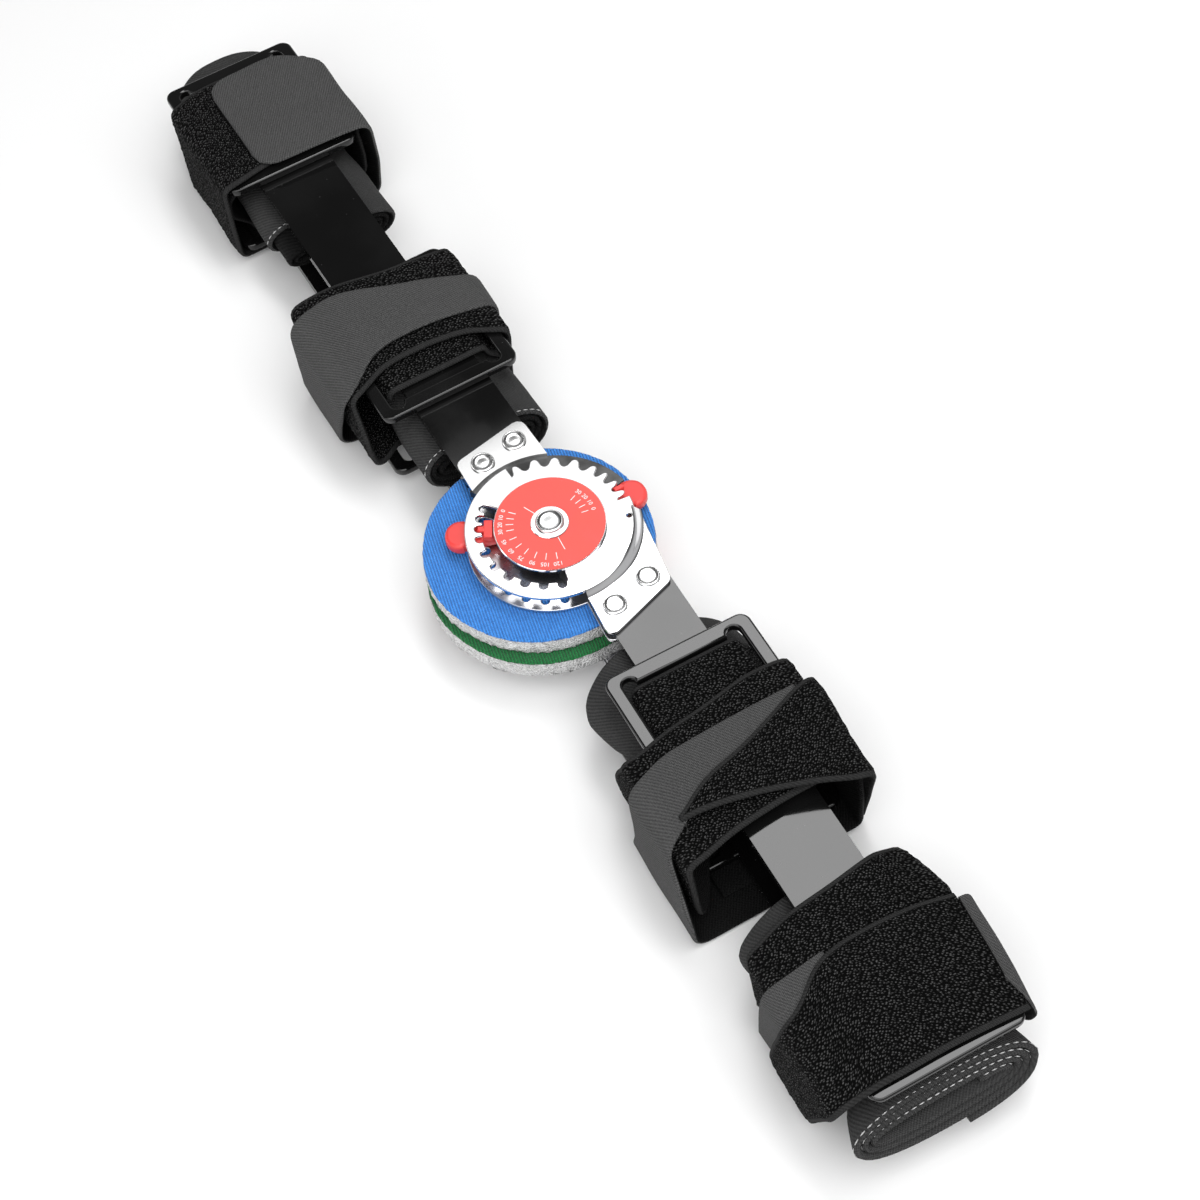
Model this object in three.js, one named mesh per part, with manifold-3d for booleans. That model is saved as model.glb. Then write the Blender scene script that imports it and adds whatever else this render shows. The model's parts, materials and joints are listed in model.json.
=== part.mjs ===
// Hinged knee brace with adjustable stops, packed flat.
// Two uprights lie one over the other with their hinges on one axis. Two round knee pads sit between
// the hinges, a padded wrap is rolled between the bars at each strap, and four straps are wound round
// both uprights. Millimetres, +Z up, +X from the knee towards the calf. The rest origin is the middle
// of the footprint on the surface that the brace lies on.

import * as THREE from "three";
import { mergeVertices } from "three/addons/utils/BufferGeometryUtils.js";
import Module from "manifold-3d";

const wasm = await Module();
wasm.setup();

// Where the hinge axis stands over the footprint, and the height of the plane between the uprights
const PIVOT = { x: 17.7315, y: -1.0954 };
const MID_Z = 21.7;

// The thigh bars stand turned a little from the line of the calf bars
const THIGH_TURN = 1.55;

// Levels of one upright above the mid plane: inner face, outer face
const LEVEL = {
  base: [8.8, 10.3],
  bar: [10.4, 13.6],
  sector: [10.6, 13.9],
  stop: [10.6, 16.3],
  neck: [13.7, 15.2],
  step: [13.7, 18.1],
  finger: [16.1, 18.0],
  disc: [16.6, 18.1],
  dial: [18.4, 19.8],
  frame: [13.9, 17.1],
};

// Bars
const THIGH_BAR = { near: -34.25, far: -257, width: 29, middle: 0 };
const CALF_BAR = { near: 29.6, far: 221, width: 27, middle: 12.6 };
const BAR_END_RADIUS = 6;

// Hinge plates
const DISC_RADIUS = 29.3;
const STEP_INNER_RADIUS = 28;
const NECK_CORNER_RADIUS = 3;
const PIVOT_HOLE_RADIUS = 3.9;
const EYE_RADIUS = 12;
const SECTOR_RADIUS = 32.5;
const SECTOR_TAIL_RADIUS = 33.9;
const SECTOR_EDGES = { extension: 99.7, flexion: 206.6 };
const THIGH_NECK = { arcRadius: 32.6, halfAngle: 27, left: [-42.6, -14.2], right: [-47.7, 14.4] };
const CALF_NECK = { fromAngle: -4, toAngle: 75, left: [48.5, -3.4], right: [38.4, 25.4] };

// Stop settings: angles on the dial where each stop's zero lies, and the settings in degrees
const FLEXION = { zero: 222, settings: [0, 10, 20, 30, 45, 60, 75, 90, 105, 120], chosen: 20 };
const EXTENSION = { zero: 89, settings: [0, 10, 20, 30, 45, 60, 75, 90], chosen: 0 };
const WINDOW = { from: 218, to: 347, inner: 16, outer: 23.3, notchTip: 25.8, notchHalfWidth: 1.5 };
const TEETH = { from: 84, to: 184, root: 25, tip: 28.5 };
const STOP = { innerHalf: 2.2, outerHalf: 5.1, shoulder: 29.6, tabHalf: 5.9, tabEnd: 36.3, tabRound: 5 };
const FLEXION_FINGER = { inner: 19.7, outer: 22.7, half: 3.5, toothEnd: 24.8, toothHalf: 1.05, bodyInner: 17.5 };
const EXTENSION_FINGER = { inner: 25.9, outer: 29.2, half: 0.8, turn: 5, bodyInner: 20 };

// Rivets
const RIVET = { hole: 2.4, shank: 2.1, head: 4.2, seat: 15.3, shoulder: 15.9, crown: 16.7, crownRadius: 2.4 };
const THIGH_RIVETS = [[-37.4, -6.1], [-39.9, 7.7]];
const CALF_RIVETS = [[37.7, 4.3], [33.5, 19.1]];
const PIVOT_RIVET = { shank: 3.5, tail: 8.9, head: 5.2, seat: 19.95, shoulder: 20.6, crown: 21.3, crownRadius: 2.8 };
const DIAL_RADIUS = 19;

// Knee pads: knit face over foam
const PAD_RADIUS = 40;
const PAD_EDGE = 0.5;
const PADS = [
  { name: "blue_pad", at: [-2.2, -4.2], face: [7.4, 8.5], foam: [0.5, 7.2] },
  { name: "green_pad", at: [1.3, -5.5], face: [-0.7, 0.3], foam: [-8.5, -0.9] },
];

// Strap frames: a flat ring with the strap's slot, rounded lobes in the slot's corners
const FRAME = { length: 63, width: 54, corner: 4, slotLength: 51, slotWidth: 44, lobe: 2.6 };

// Straps, tabs and wraps
const STRAP = { width: 47, thickness: 2 };
const TAB = { width: 48, thickness: 2, endRound: 9 };
const WRAP_THICKNESS = 4.4;

// One row for each strap: hand 1 winds the tab over from the left, -1 from the right; the reaches are
// how far the tab's side and the turn's side stand from the bar's middle; the shifts slide a turn along
// the bar from the frame's middle; the tab ends on top, or runs on down the turn's side
const GROUPS = [
  { name: "thigh_far", bar: "thigh", x: -230.5, hand: -1, tabReach: 33.5, turnReach: 29.3,
    turnShift: 1, tabShift: 3, tabEndShift: 3, tabEndY: 12, wrapFrom: -272, wrapTo: -181 },
  { name: "thigh_near", bar: "thigh", x: -101.8, hand: 1, tabReach: 39, turnReach: 31,
    turnShift: -5.2, tabShift: -0.2, tabEndShift: -0.2, tabEndY: null, wrapFrom: -141, wrapTo: -52 },
  { name: "calf_near", bar: "calf", x: 93.8, hand: 1, tabReach: 40, turnReach: 28.8,
    turnShift: 14.7, tabShift: 25.7, tabEndShift: 25.7, tabEndY: 22, wrapFrom: 54, wrapTo: 124 },
  { name: "calf_far", bar: "calf", x: 196.8, hand: 1, tabReach: 39.5, turnReach: 28.8,
    turnShift: -10.3, tabShift: 6.7, tabEndShift: 6.7, tabEndY: null, wrapFrom: 150, wrapTo: 237 },
];

// Heights of the strap's two turns and of the tab from the mid plane, along the middle of the band
const INNER_TURN = 14.95;
const OUTER_TURN = 18.4;
const TAB_TURN = 20.7;

// Strap route round the bars, seen along the bar: across, height from the mid plane, corner radius and
// how much of the turn's shift has been taken up
function strapRoute({ tabReach, turnReach }) {
  const edge = 18.2;
  const dip = 11.2;
  const bulge = Math.min(31.5, turnReach - 2.6);
  const tabSide = tabReach - 4;
  const round = Math.min(5, turnReach - 26.8);
  return [
    { y: -13, h: INNER_TURN, r: 0, shift: 0 },
    { y: edge, h: INNER_TURN, r: 2.2, shift: 0 },
    { y: edge, h: dip, r: 2.4, shift: 0 },
    { y: bulge, h: 4, r: 4, shift: 0 },
    { y: bulge, h: -4, r: 4, shift: 0 },
    { y: edge, h: -dip, r: 2.4, shift: 0 },
    { y: edge, h: -INNER_TURN, r: 2.2, shift: 0 },
    { y: -edge, h: -INNER_TURN, r: 2.2, shift: 0 },
    { y: -edge, h: -dip, r: 2.4, shift: 0 },
    { y: -tabSide, h: -1, r: 7, shift: 0.4 },
    { y: -tabSide + 0.3, h: OUTER_TURN, r: 3, shift: 1 },
    { y: turnReach - 0.3, h: OUTER_TURN, r: round, shift: 1 },
    { y: turnReach, h: 0, r: 20, shift: 1 },
    { y: turnReach - 0.3, h: -OUTER_TURN, r: round, shift: 1 },
    { y: -24, h: -OUTER_TURN, r: 0, shift: 1 },
  ];
}

// Tab route: from its seam under the brace, up one side and over the top
function tabRoute({ tabReach, turnReach, tabEndY }) {
  const rise = [
    { y: 20, h: -TAB_TURN, r: 0, shift: 0 },
    { y: -tabReach + 1, h: -TAB_TURN, r: 5, shift: 0 },
    { y: -tabReach, h: 0, r: 20, shift: 0 },
    { y: -tabReach + 1, h: TAB_TURN, r: 5, shift: 0 },
  ];
  const onTop = [{ y: tabEndY, h: TAB_TURN, r: 0, shift: 1 }];
  const downSide = [
    { y: turnReach + 2.8, h: TAB_TURN, r: 5, shift: 1 },
    { y: turnReach + 3.6, h: 3, r: 0, shift: 1 },
  ];
  return [...rise, ...(tabEndY === null ? downSide : onTop)];
}

// Wrap route: a flattened roll of two turns that fills the space inside the strap
function wrapRoute({ tabReach, turnReach }) {
  const tabTip = tabReach - 7.5;
  const turnTip = Math.min(31, turnReach - 3.1);
  const tabFlat = Math.min(15.5, tabTip - 14.5);
  const turnFlat = Math.min(15.5, turnTip - 14.5);
  return [
    { y: -10, h: 2.6, r: 0, shift: 0 },
    { y: 8, h: 2.6, r: 2.5, shift: 0 },
    { y: 8, h: -2.6, r: 2.5, shift: 0 },
    { y: -9, h: -2.6, r: 8, shift: 0 },
    { y: -tabTip, h: 0.4, r: 3.5, shift: 0 },
    { y: -tabFlat, h: 7.8, r: 8, shift: 0 },
    { y: turnFlat, h: 7.8, r: 8, shift: 0 },
    { y: turnTip, h: 0, r: 3.5, shift: 0 },
    { y: turnFlat, h: -7.8, r: 8, shift: 0 },
    { y: -tabFlat, h: -7.8, r: 0, shift: 0 },
  ];
}

// Fineness of the facets
const HOLE_SIDES = 10;
const RIVET_SIDES = 10;
const PIVOT_SIDES = 14;
const ROUND_SIDES = 32;
const ARC_STEPS = 3;

// Finishes
const finish = (color, roughness, metalness = 0) => new THREE.MeshStandardMaterial({ color, roughness, metalness });
const GLOSS_BLACK = finish("#17171a", 0.2);
const CHROME = finish("#d9dadd", 0.12, 1);
const DIAL_RED = finish("#e8605c", 0.4);
const STOP_RED = finish("#d4323a", 0.35);
const BLUE_KNIT = finish("#2f74cf", 0.9);
const GREEN_KNIT = finish("#1f7a3a", 0.9);
const FOAM = finish("#c9c7c3", 0.95);
const PILE = finish("#141414", 0.95);
const HOOK = finish("#474747", 0.85);
const WRAP_CLOTH = finish("#2a2a2b", 0.9);

// Plan points

const radians = THREE.MathUtils.degToRad;

function polar(radius, degrees) {
  return new THREE.Vector2(radius * Math.cos(radians(degrees)), radius * Math.sin(radians(degrees)));
}

function arc(radius, from, to, steps) {
  return Array.from({ length: steps + 1 }, (_, i) => polar(radius, from + ((to - from) * i) / steps));
}

function circlePath(x, y, radius, sides) {
  const points = arc(radius, 0, 360 - 360 / sides, sides - 1);
  return new THREE.Path(points.map((p) => new THREE.Vector2(p.x + x, p.y + y)));
}

// Replaces the corner at b, between a and c, by a short arc
function roundCorner(a, b, c, radius, steps = 3) {
  const before = a.clone().sub(b).normalize();
  const after = c.clone().sub(b).normalize();
  const half = Math.acos(before.dot(after)) / 2;
  const middle = before.clone().add(after).normalize();
  const centre = b.clone().addScaledVector(middle, radius / Math.sin(half));
  const first = b.clone().addScaledVector(before, radius / Math.tan(half)).sub(centre);
  const last = b.clone().addScaledVector(after, radius / Math.tan(half)).sub(centre);
  const turn = Math.atan2(first.x * last.y - first.y * last.x, first.dot(last));
  return Array.from({ length: steps + 1 }, (_, i) => {
    return first.clone().rotateAround(new THREE.Vector2(), (turn * i) / steps).add(centre);
  });
}

// Solids

function slab(shape, [inner, outer], side) {
  const geometry = new THREE.ExtrudeGeometry(shape, { depth: outer - inner, bevelEnabled: false });
  return geometry.translate(0, 0, side > 0 ? inner : -outer);
}

function turned(profile, side, sides) {
  const geometry = new THREE.LatheGeometry(profile.map(([r, h]) => new THREE.Vector2(r, h)), sides);
  return geometry.rotateX(side > 0 ? Math.PI / 2 : -Math.PI / 2);
}

function toSolid(geometry) {
  const bare = geometry.clone();
  bare.deleteAttribute("normal");
  bare.deleteAttribute("uv");
  const merged = mergeVertices(bare, 1e-4);
  return new wasm.Manifold(new wasm.Mesh({
    numProp: 3,
    vertProperties: merged.attributes.position.array,
    triVerts: new Uint32Array(merged.index.array),
  }));
}

function joined(...geometries) {
  const mesh = geometries.map(toSolid).reduce((sum, solid) => sum.add(solid)).getMesh();
  const geometry = new THREE.BufferGeometry();
  geometry.setAttribute("position", new THREE.BufferAttribute(new Float32Array(mesh.vertProperties), 3));
  geometry.setIndex(Array.from(mesh.triVerts));
  geometry.computeVertexNormals();
  return geometry;
}

// Rounds the corners of a route and lists its stations: across, height and place along the bar
function stationsOf(route, shiftOf) {
  const corners = route.map((row) => new THREE.Vector2(row.y, row.h));
  return route.flatMap((row, i) => {
    const inside = i > 0 && i < route.length - 1;
    const points = inside ? roundCorner(corners[i - 1], corners[i], corners[i + 1], row.r, ARC_STEPS) : [corners[i]];
    return points.map((p) => ({ y: p.x, h: p.y, x: shiftOf(row) }));
  });
}

// Adds stations on a band's last stretch and narrows it there, so that it ends in a rounded tongue
function roundedEnd(stations, width, radius) {
  const last = stations.at(-1);
  const before = stations.at(-2);
  const along = new THREE.Vector2(last.y - before.y, last.h - before.h);
  const length = along.length();
  const tail = [1, 0.6, 0.3, 0.12, 0.02].map((part) => {
    const back = (radius * part) / length;
    const y = last.y - along.x * back;
    const h = last.h - along.y * back;
    const x = last.x + (before.x - last.x) * back;
    const narrowed = radius - radius * Math.sqrt(1 - (1 - part) ** 2);
    return { y, h, x, width: width - 2 * narrowed };
  });
  return [...stations.slice(0, -1), ...tail];
}

// A closed band that follows stations in the plane across the bar
function band(stations, width, thickness) {
  const count = stations.length;
  const spots = stations.map((s) => new THREE.Vector2(s.y, s.h));
  const step = (i) => spots[i + 1].clone().sub(spots[i]).normalize();
  const corners = [];
  stations.forEach((s, i) => {
    const before = step(Math.max(i - 1, 0));
    const after = step(Math.min(i, count - 2));
    const tangent = before.clone().add(after).normalize();
    const reach = thickness / 2 / tangent.dot(after);
    const half = (s.width ?? width) / 2;
    for (const [edge, face] of [[-1, 1], [1, 1], [1, -1], [-1, -1]]) {
      corners.push(s.x + edge * half, s.y - tangent.y * reach * face, s.h + tangent.x * reach * face);
    }
  });
  const index = [];
  const quad = (a, b, c, d) => index.push(a, b, c, a, c, d);
  for (let i = 0; i < count - 1; i++) {
    for (let k = 0; k < 4; k++) {
      const next = (k + 1) % 4;
      quad(4 * i + k, 4 * i + next, 4 * i + 4 + next, 4 * i + 4 + k);
    }
  }
  const end = 4 * (count - 1);
  quad(3, 2, 1, 0);
  quad(end, end + 1, end + 2, end + 3);
  const geometry = new THREE.BufferGeometry();
  geometry.setAttribute("position", new THREE.Float32BufferAttribute(corners, 3));
  geometry.setIndex(index);
  geometry.computeVertexNormals();
  return geometry;
}

// Hinge plates

function windowPath() {
  const points = [polar(WINDOW.outer, WINDOW.from)];
  for (const setting of FLEXION.settings) {
    const angle = FLEXION.zero + setting;
    const mouth = THREE.MathUtils.radToDeg(WINDOW.notchHalfWidth / WINDOW.outer);
    const neck = WINDOW.notchTip - WINDOW.notchHalfWidth;
    const half = THREE.MathUtils.radToDeg(WINDOW.notchHalfWidth / neck);
    const round = half * 0.7;
    const roundTip = neck + WINDOW.notchHalfWidth * 0.7;
    points.push(polar(WINDOW.outer, angle - mouth), polar(neck, angle - half), polar(roundTip, angle - round));
    points.push(polar(WINDOW.notchTip, angle));
    points.push(polar(roundTip, angle + round), polar(neck, angle + half), polar(WINDOW.outer, angle + mouth));
  }
  points.push(polar(WINDOW.outer, WINDOW.to));
  points.push(...arc(WINDOW.inner, WINDOW.to, WINDOW.from, 10));
  return new THREE.Path(points);
}

// The toothed stretch of the disc's edge: a rounded tooth at each extension setting
function toothedEdge() {
  const tips = EXTENSION.settings.map((setting) => EXTENSION.zero + setting);
  const middle = (TEETH.root + TEETH.tip) / 2;
  const swing = (TEETH.tip - TEETH.root) / 2;
  const valleys = [TEETH.from, ...tips.slice(1).map((tip, i) => (tip + tips[i]) / 2), TEETH.to];
  const points = [];
  tips.forEach((tip, i) => {
    for (const [from, to, rising] of [[valleys[i], tip, 1], [tip, valleys[i + 1], -1]]) {
      for (let k = 0; k < 3; k++) {
        points.push(polar(middle - rising * swing * Math.cos((Math.PI * k) / 3), from + ((to - from) * k) / 3));
      }
    }
  });
  points.push(polar(TEETH.root, TEETH.to));
  return points;
}

function calfNeckEdge() {
  const start = polar(DISC_RADIUS, CALF_NECK.fromAngle);
  const left = new THREE.Vector2(...CALF_NECK.left);
  const right = new THREE.Vector2(...CALF_NECK.right);
  const stop = polar(DISC_RADIUS, CALF_NECK.toAngle);
  return [
    ...roundCorner(start, left, right, NECK_CORNER_RADIUS),
    ...roundCorner(left, right, stop, NECK_CORNER_RADIUS),
  ];
}

function rivetHoles(shape, places) {
  for (const [x, y] of places) {
    shape.holes.push(circlePath(x, y, RIVET.hole, HOLE_SIDES));
  }
  return shape;
}

function calfTopPlate(side) {
  const disc = new THREE.Shape([...toothedEdge(), ...arc(DISC_RADIUS, TEETH.to, 360 + TEETH.from, 28)]);
  disc.holes.push(windowPath(), circlePath(0, 0, PIVOT_HOLE_RADIUS, HOLE_SIDES));
  const inner = arc(STEP_INNER_RADIUS, CALF_NECK.toAngle, CALF_NECK.fromAngle, 12);
  const step = new THREE.Shape([...arc(DISC_RADIUS, CALF_NECK.fromAngle, CALF_NECK.toAngle, 12), ...inner]);
  const neckStart = polar(DISC_RADIUS, CALF_NECK.fromAngle);
  const neckStop = polar(DISC_RADIUS, CALF_NECK.toAngle);
  const neck = rivetHoles(new THREE.Shape([neckStart, ...calfNeckEdge(), neckStop, ...inner]), CALF_RIVETS);
  return joined(slab(disc, LEVEL.disc, side), slab(step, LEVEL.step, side), slab(neck, LEVEL.neck, side));
}

function calfBasePlate(side) {
  const rim = arc(DISC_RADIUS, CALF_NECK.toAngle, 360 + CALF_NECK.fromAngle, 32);
  const shape = rivetHoles(new THREE.Shape([...rim, ...calfNeckEdge()]), CALF_RIVETS);
  shape.holes.push(windowPath(), circlePath(0, 0, PIVOT_HOLE_RADIUS, HOLE_SIDES));
  return slab(shape, LEVEL.base, side);
}

function thighPlate(side) {
  const { arcRadius, halfAngle } = THIGH_NECK;
  const left = new THREE.Vector2(...THIGH_NECK.left);
  const right = new THREE.Vector2(...THIGH_NECK.right);
  const hollow = arc(arcRadius, 180 + halfAngle, 180 - halfAngle, 10);
  const neck = rivetHoles(new THREE.Shape([
    ...hollow,
    ...roundCorner(hollow.at(-1), right, left, NECK_CORNER_RADIUS),
    ...roundCorner(right, left, hollow[0], NECK_CORNER_RADIUS),
  ]), THIGH_RIVETS);
  const sector = new THREE.Shape([
    ...arc(SECTOR_RADIUS, SECTOR_EDGES.extension, 180 - halfAngle, 10),
    ...arc(SECTOR_TAIL_RADIUS, 180 - halfAngle, 180 + halfAngle, 10),
    polar(SECTOR_RADIUS, SECTOR_EDGES.flexion),
    ...arc(EYE_RADIUS, SECTOR_EDGES.flexion, 360 + SECTOR_EDGES.extension, 16),
  ]);
  sector.holes.push(circlePath(0, 0, PIVOT_HOLE_RADIUS, HOLE_SIDES));
  return joined(slab(sector, LEVEL.sector, side), slab(neck, LEVEL.neck, side));
}

// A flat bar, rounded at its far end and drilled for the neck rivets
function barSolid(bar, rivets, side) {
  const low = bar.middle - bar.width / 2;
  const high = bar.middle + bar.width / 2;
  const corner = (x, y) => new THREE.Vector2(x, y);
  const [a, b, c, d] = [corner(bar.near, low), corner(bar.far, low), corner(bar.far, high), corner(bar.near, high)];
  const outline = [a, ...roundCorner(a, b, c, BAR_END_RADIUS), ...roundCorner(b, c, d, BAR_END_RADIUS), d];
  return slab(rivetHoles(new THREE.Shape(outline), rivets), LEVEL.bar, side);
}

// Stops: a tapered body between the plates, a tab outside them and a finger up through the disc.
// They are drawn along +X and turned to their setting.

function stopBody(bodyInner, side) {
  const flank = (sign) => ({
    inner: new THREE.Vector2(bodyInner, sign * STOP.innerHalf),
    shoulder: new THREE.Vector2(STOP.shoulder, sign * STOP.outerHalf),
    tab: new THREE.Vector2(STOP.shoulder, sign * STOP.tabHalf),
    end: new THREE.Vector2(STOP.tabEnd, sign * STOP.tabHalf),
  });
  const right = flank(-1);
  const left = flank(1);
  return slab(new THREE.Shape([
    right.inner, right.shoulder, right.tab,
    ...roundCorner(right.tab, right.end, left.end, STOP.tabRound),
    ...roundCorner(right.end, left.end, left.tab, STOP.tabRound),
    left.tab, left.shoulder, left.inner,
  ]), LEVEL.stop, side);
}

function block(from, to, half, level, side) {
  const outline = [[from, -half], [to, -half], [to, half], [from, half]];
  return slab(new THREE.Shape(outline.map(([x, y]) => new THREE.Vector2(x, y))), level, side);
}

function flexionStop(side) {
  const finger = FLEXION_FINGER;
  const pad = block(finger.inner, finger.outer, finger.half, LEVEL.finger, side);
  const tooth = block(finger.inner + 1, finger.toothEnd, finger.toothHalf, LEVEL.finger, side);
  const solid = joined(stopBody(finger.bodyInner, side), pad, tooth);
  return solid.rotateZ(radians(FLEXION.zero + FLEXION.chosen));
}

function extensionStop(side) {
  const finger = EXTENSION_FINGER;
  const tooth = block(finger.inner, finger.outer, finger.half, LEVEL.finger, side).rotateZ(radians(finger.turn));
  const solid = joined(stopBody(finger.bodyInner, side), tooth);
  return solid.rotateZ(radians(EXTENSION.zero + EXTENSION.chosen));
}

// Round pieces

function rivetSolid(rivet, tail, sides, side) {
  return turned([
    [0, tail], [rivet.shank, tail], [rivet.shank, rivet.seat], [rivet.head, rivet.seat],
    [rivet.head, rivet.shoulder], [rivet.crownRadius, rivet.crown], [0, rivet.crown],
  ], side, sides);
}

function dialSolid(side) {
  const [low, high] = LEVEL.dial;
  const hole = PIVOT_HOLE_RADIUS;
  return turned([[hole, low], [DIAL_RADIUS, low], [DIAL_RADIUS, high], [hole, high], [hole, low]], side, ROUND_SIDES);
}

function padLayer([low, high]) {
  const rim = PAD_RADIUS - PAD_EDGE;
  return turned([
    [0, low], [rim, low], [PAD_RADIUS, low + PAD_EDGE], [PAD_RADIUS, high - PAD_EDGE], [rim, high], [0, high],
  ], 1, ROUND_SIDES);
}

// Strap frame

function frameSolid(x, y, side) {
  const halfLength = FRAME.length / 2;
  const halfWidth = FRAME.width / 2;
  const box = [[-1, -1], [1, -1], [1, 1], [-1, 1]].map(([sx, sy]) => new THREE.Vector2(sx * halfLength, sy * halfWidth));
  const outline = box.flatMap((p, i) => roundCorner(box.at(i - 1), p, box[(i + 1) % 4], FRAME.corner, 2));
  const slotX = FRAME.slotLength / 2;
  const slotY = FRAME.slotWidth / 2 - FRAME.lobe;
  const lobe = (sx, sy, from, to) => arc(FRAME.lobe, from, to, 4).map((p) => p.add(new THREE.Vector2(sx * slotX, sy * slotY)));
  const slot = [...lobe(1, 1, 90, -90), ...lobe(1, -1, 90, -90), ...lobe(-1, -1, 270, 90), ...lobe(-1, 1, 270, 90)];
  const shape = new THREE.Shape(outline);
  shape.holes.push(new THREE.Path(slot));
  return slab(shape, LEVEL.frame, side).translate(x, y, 0);
}

// Straps, tabs and wraps of one group

function handed(route, hand) {
  return route.map((row) => ({ ...row, y: row.y * hand }));
}

function strapSolid(group, middle) {
  const slide = (row) => group.x + row.shift * group.turnShift;
  const stations = stationsOf(handed(strapRoute(group), group.hand), slide);
  return band(ordered(stations, group.hand), STRAP.width, STRAP.thickness).translate(0, middle, 0);
}

function tabSolid(group, middle) {
  const slide = (row) => group.x + group.tabShift + row.shift * (group.tabEndShift - group.tabShift);
  const stations = roundedEnd(stationsOf(handed(tabRoute(group), group.hand), slide), TAB.width, TAB.endRound);
  return band(ordered(stations, group.hand), TAB.width, TAB.thickness).translate(0, middle, 0);
}

function wrapSolid(group, middle) {
  const centre = (group.wrapFrom + group.wrapTo) / 2;
  const stations = stationsOf(handed(wrapRoute(group), group.hand), () => centre);
  const width = group.wrapTo - group.wrapFrom;
  return band(ordered(stations, group.hand), width, WRAP_THICKNESS).translate(0, middle, 0);
}

// The band's faces point out when its route runs this way round
function ordered(stations, hand) {
  return hand > 0 ? stations : [...stations].reverse();
}

// Assembly

const brace = new THREE.Group();
brace.position.set(PIVOT.x, PIVOT.y, MID_Z);
const thigh = new THREE.Group();
thigh.rotation.z = radians(THIGH_TURN);
const calf = new THREE.Group();
brace.add(thigh, calf);

function place(parent, name, geometry, material) {
  const mesh = new THREE.Mesh(geometry, material);
  mesh.name = name;
  parent.add(mesh);
  return mesh;
}

const SEGMENTS = { thigh: { group: thigh, bar: THIGH_BAR }, calf: { group: calf, bar: CALF_BAR } };

for (const [upright, side] of [["top", 1], ["under", -1]]) {
  place(thigh, `${upright}_thigh_bar`, barSolid(THIGH_BAR, THIGH_RIVETS, side), GLOSS_BLACK);
  place(thigh, `${upright}_thigh_plate`, thighPlate(side), CHROME);
  place(calf, `${upright}_calf_bar`, barSolid(CALF_BAR, CALF_RIVETS, side), GLOSS_BLACK);
  place(calf, `${upright}_calf_top_plate`, calfTopPlate(side), CHROME);
  place(calf, `${upright}_calf_base_plate`, calfBasePlate(side), CHROME);
  place(calf, `${upright}_dial`, dialSolid(side), DIAL_RED);
  place(calf, `${upright}_pivot_rivet`, rivetSolid(PIVOT_RIVET, PIVOT_RIVET.tail, PIVOT_SIDES, side), CHROME);
  place(calf, `${upright}_flexion_stop`, flexionStop(side), STOP_RED);
  place(calf, `${upright}_extension_stop`, extensionStop(side), STOP_RED);
  for (const [segment, group, places, tail] of [
    ["thigh", thigh, THIGH_RIVETS, LEVEL.bar[0] + 0.1],
    ["calf", calf, CALF_RIVETS, LEVEL.base[0] + 0.1],
  ]) {
    places.forEach(([x, y], i) => {
      const rivet = rivetSolid(RIVET, tail, RIVET_SIDES, side).translate(x, y, 0);
      place(group, `${upright}_${segment}_rivet_${i + 1}`, rivet, CHROME);
    });
  }
  for (const { name, bar, x } of GROUPS) {
    const segment = SEGMENTS[bar];
    place(segment.group, `${upright}_${name}_frame`, frameSolid(x, segment.bar.middle, side), GLOSS_BLACK);
  }
}

for (const pad of PADS) {
  place(calf, `${pad.name}_face`, padLayer(pad.face).translate(...pad.at, 0), pad.name === "blue_pad" ? BLUE_KNIT : GREEN_KNIT);
  place(calf, `${pad.name}_foam`, padLayer(pad.foam).translate(...pad.at, 0), FOAM);
}

for (const group of GROUPS) {
  const { group: parent, bar } = SEGMENTS[group.bar];
  place(parent, `${group.name}_strap`, strapSolid(group, bar.middle), PILE);
  place(parent, `${group.name}_tab`, tabSolid(group, bar.middle), HOOK);
  place(parent, `${group.name}_wrap`, wrapSolid(group, bar.middle), WRAP_CLOTH);
}

export default brace;
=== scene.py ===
# %% [markdown]
# # A hinged knee brace, packed flat
# The brace lies folded: two metal uprights one over the other, their hinges on one axis, two round
# knee pads between the hinges, and four hook-and-loop straps wound round strap frames on the bars.
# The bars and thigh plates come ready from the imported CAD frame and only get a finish. The other hard
# parts are redrawn in finer form in the place of their solids, and the plain soft solids become cloth.
# Everything is drawn in millimetres from the hinge axis and the plane between the uprights, and turned
# into metres when a mesh is made.

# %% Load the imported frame
import json
import math
from functools import partial

import bpy
import numpy as np
from mathutils import Matrix, Vector

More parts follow.
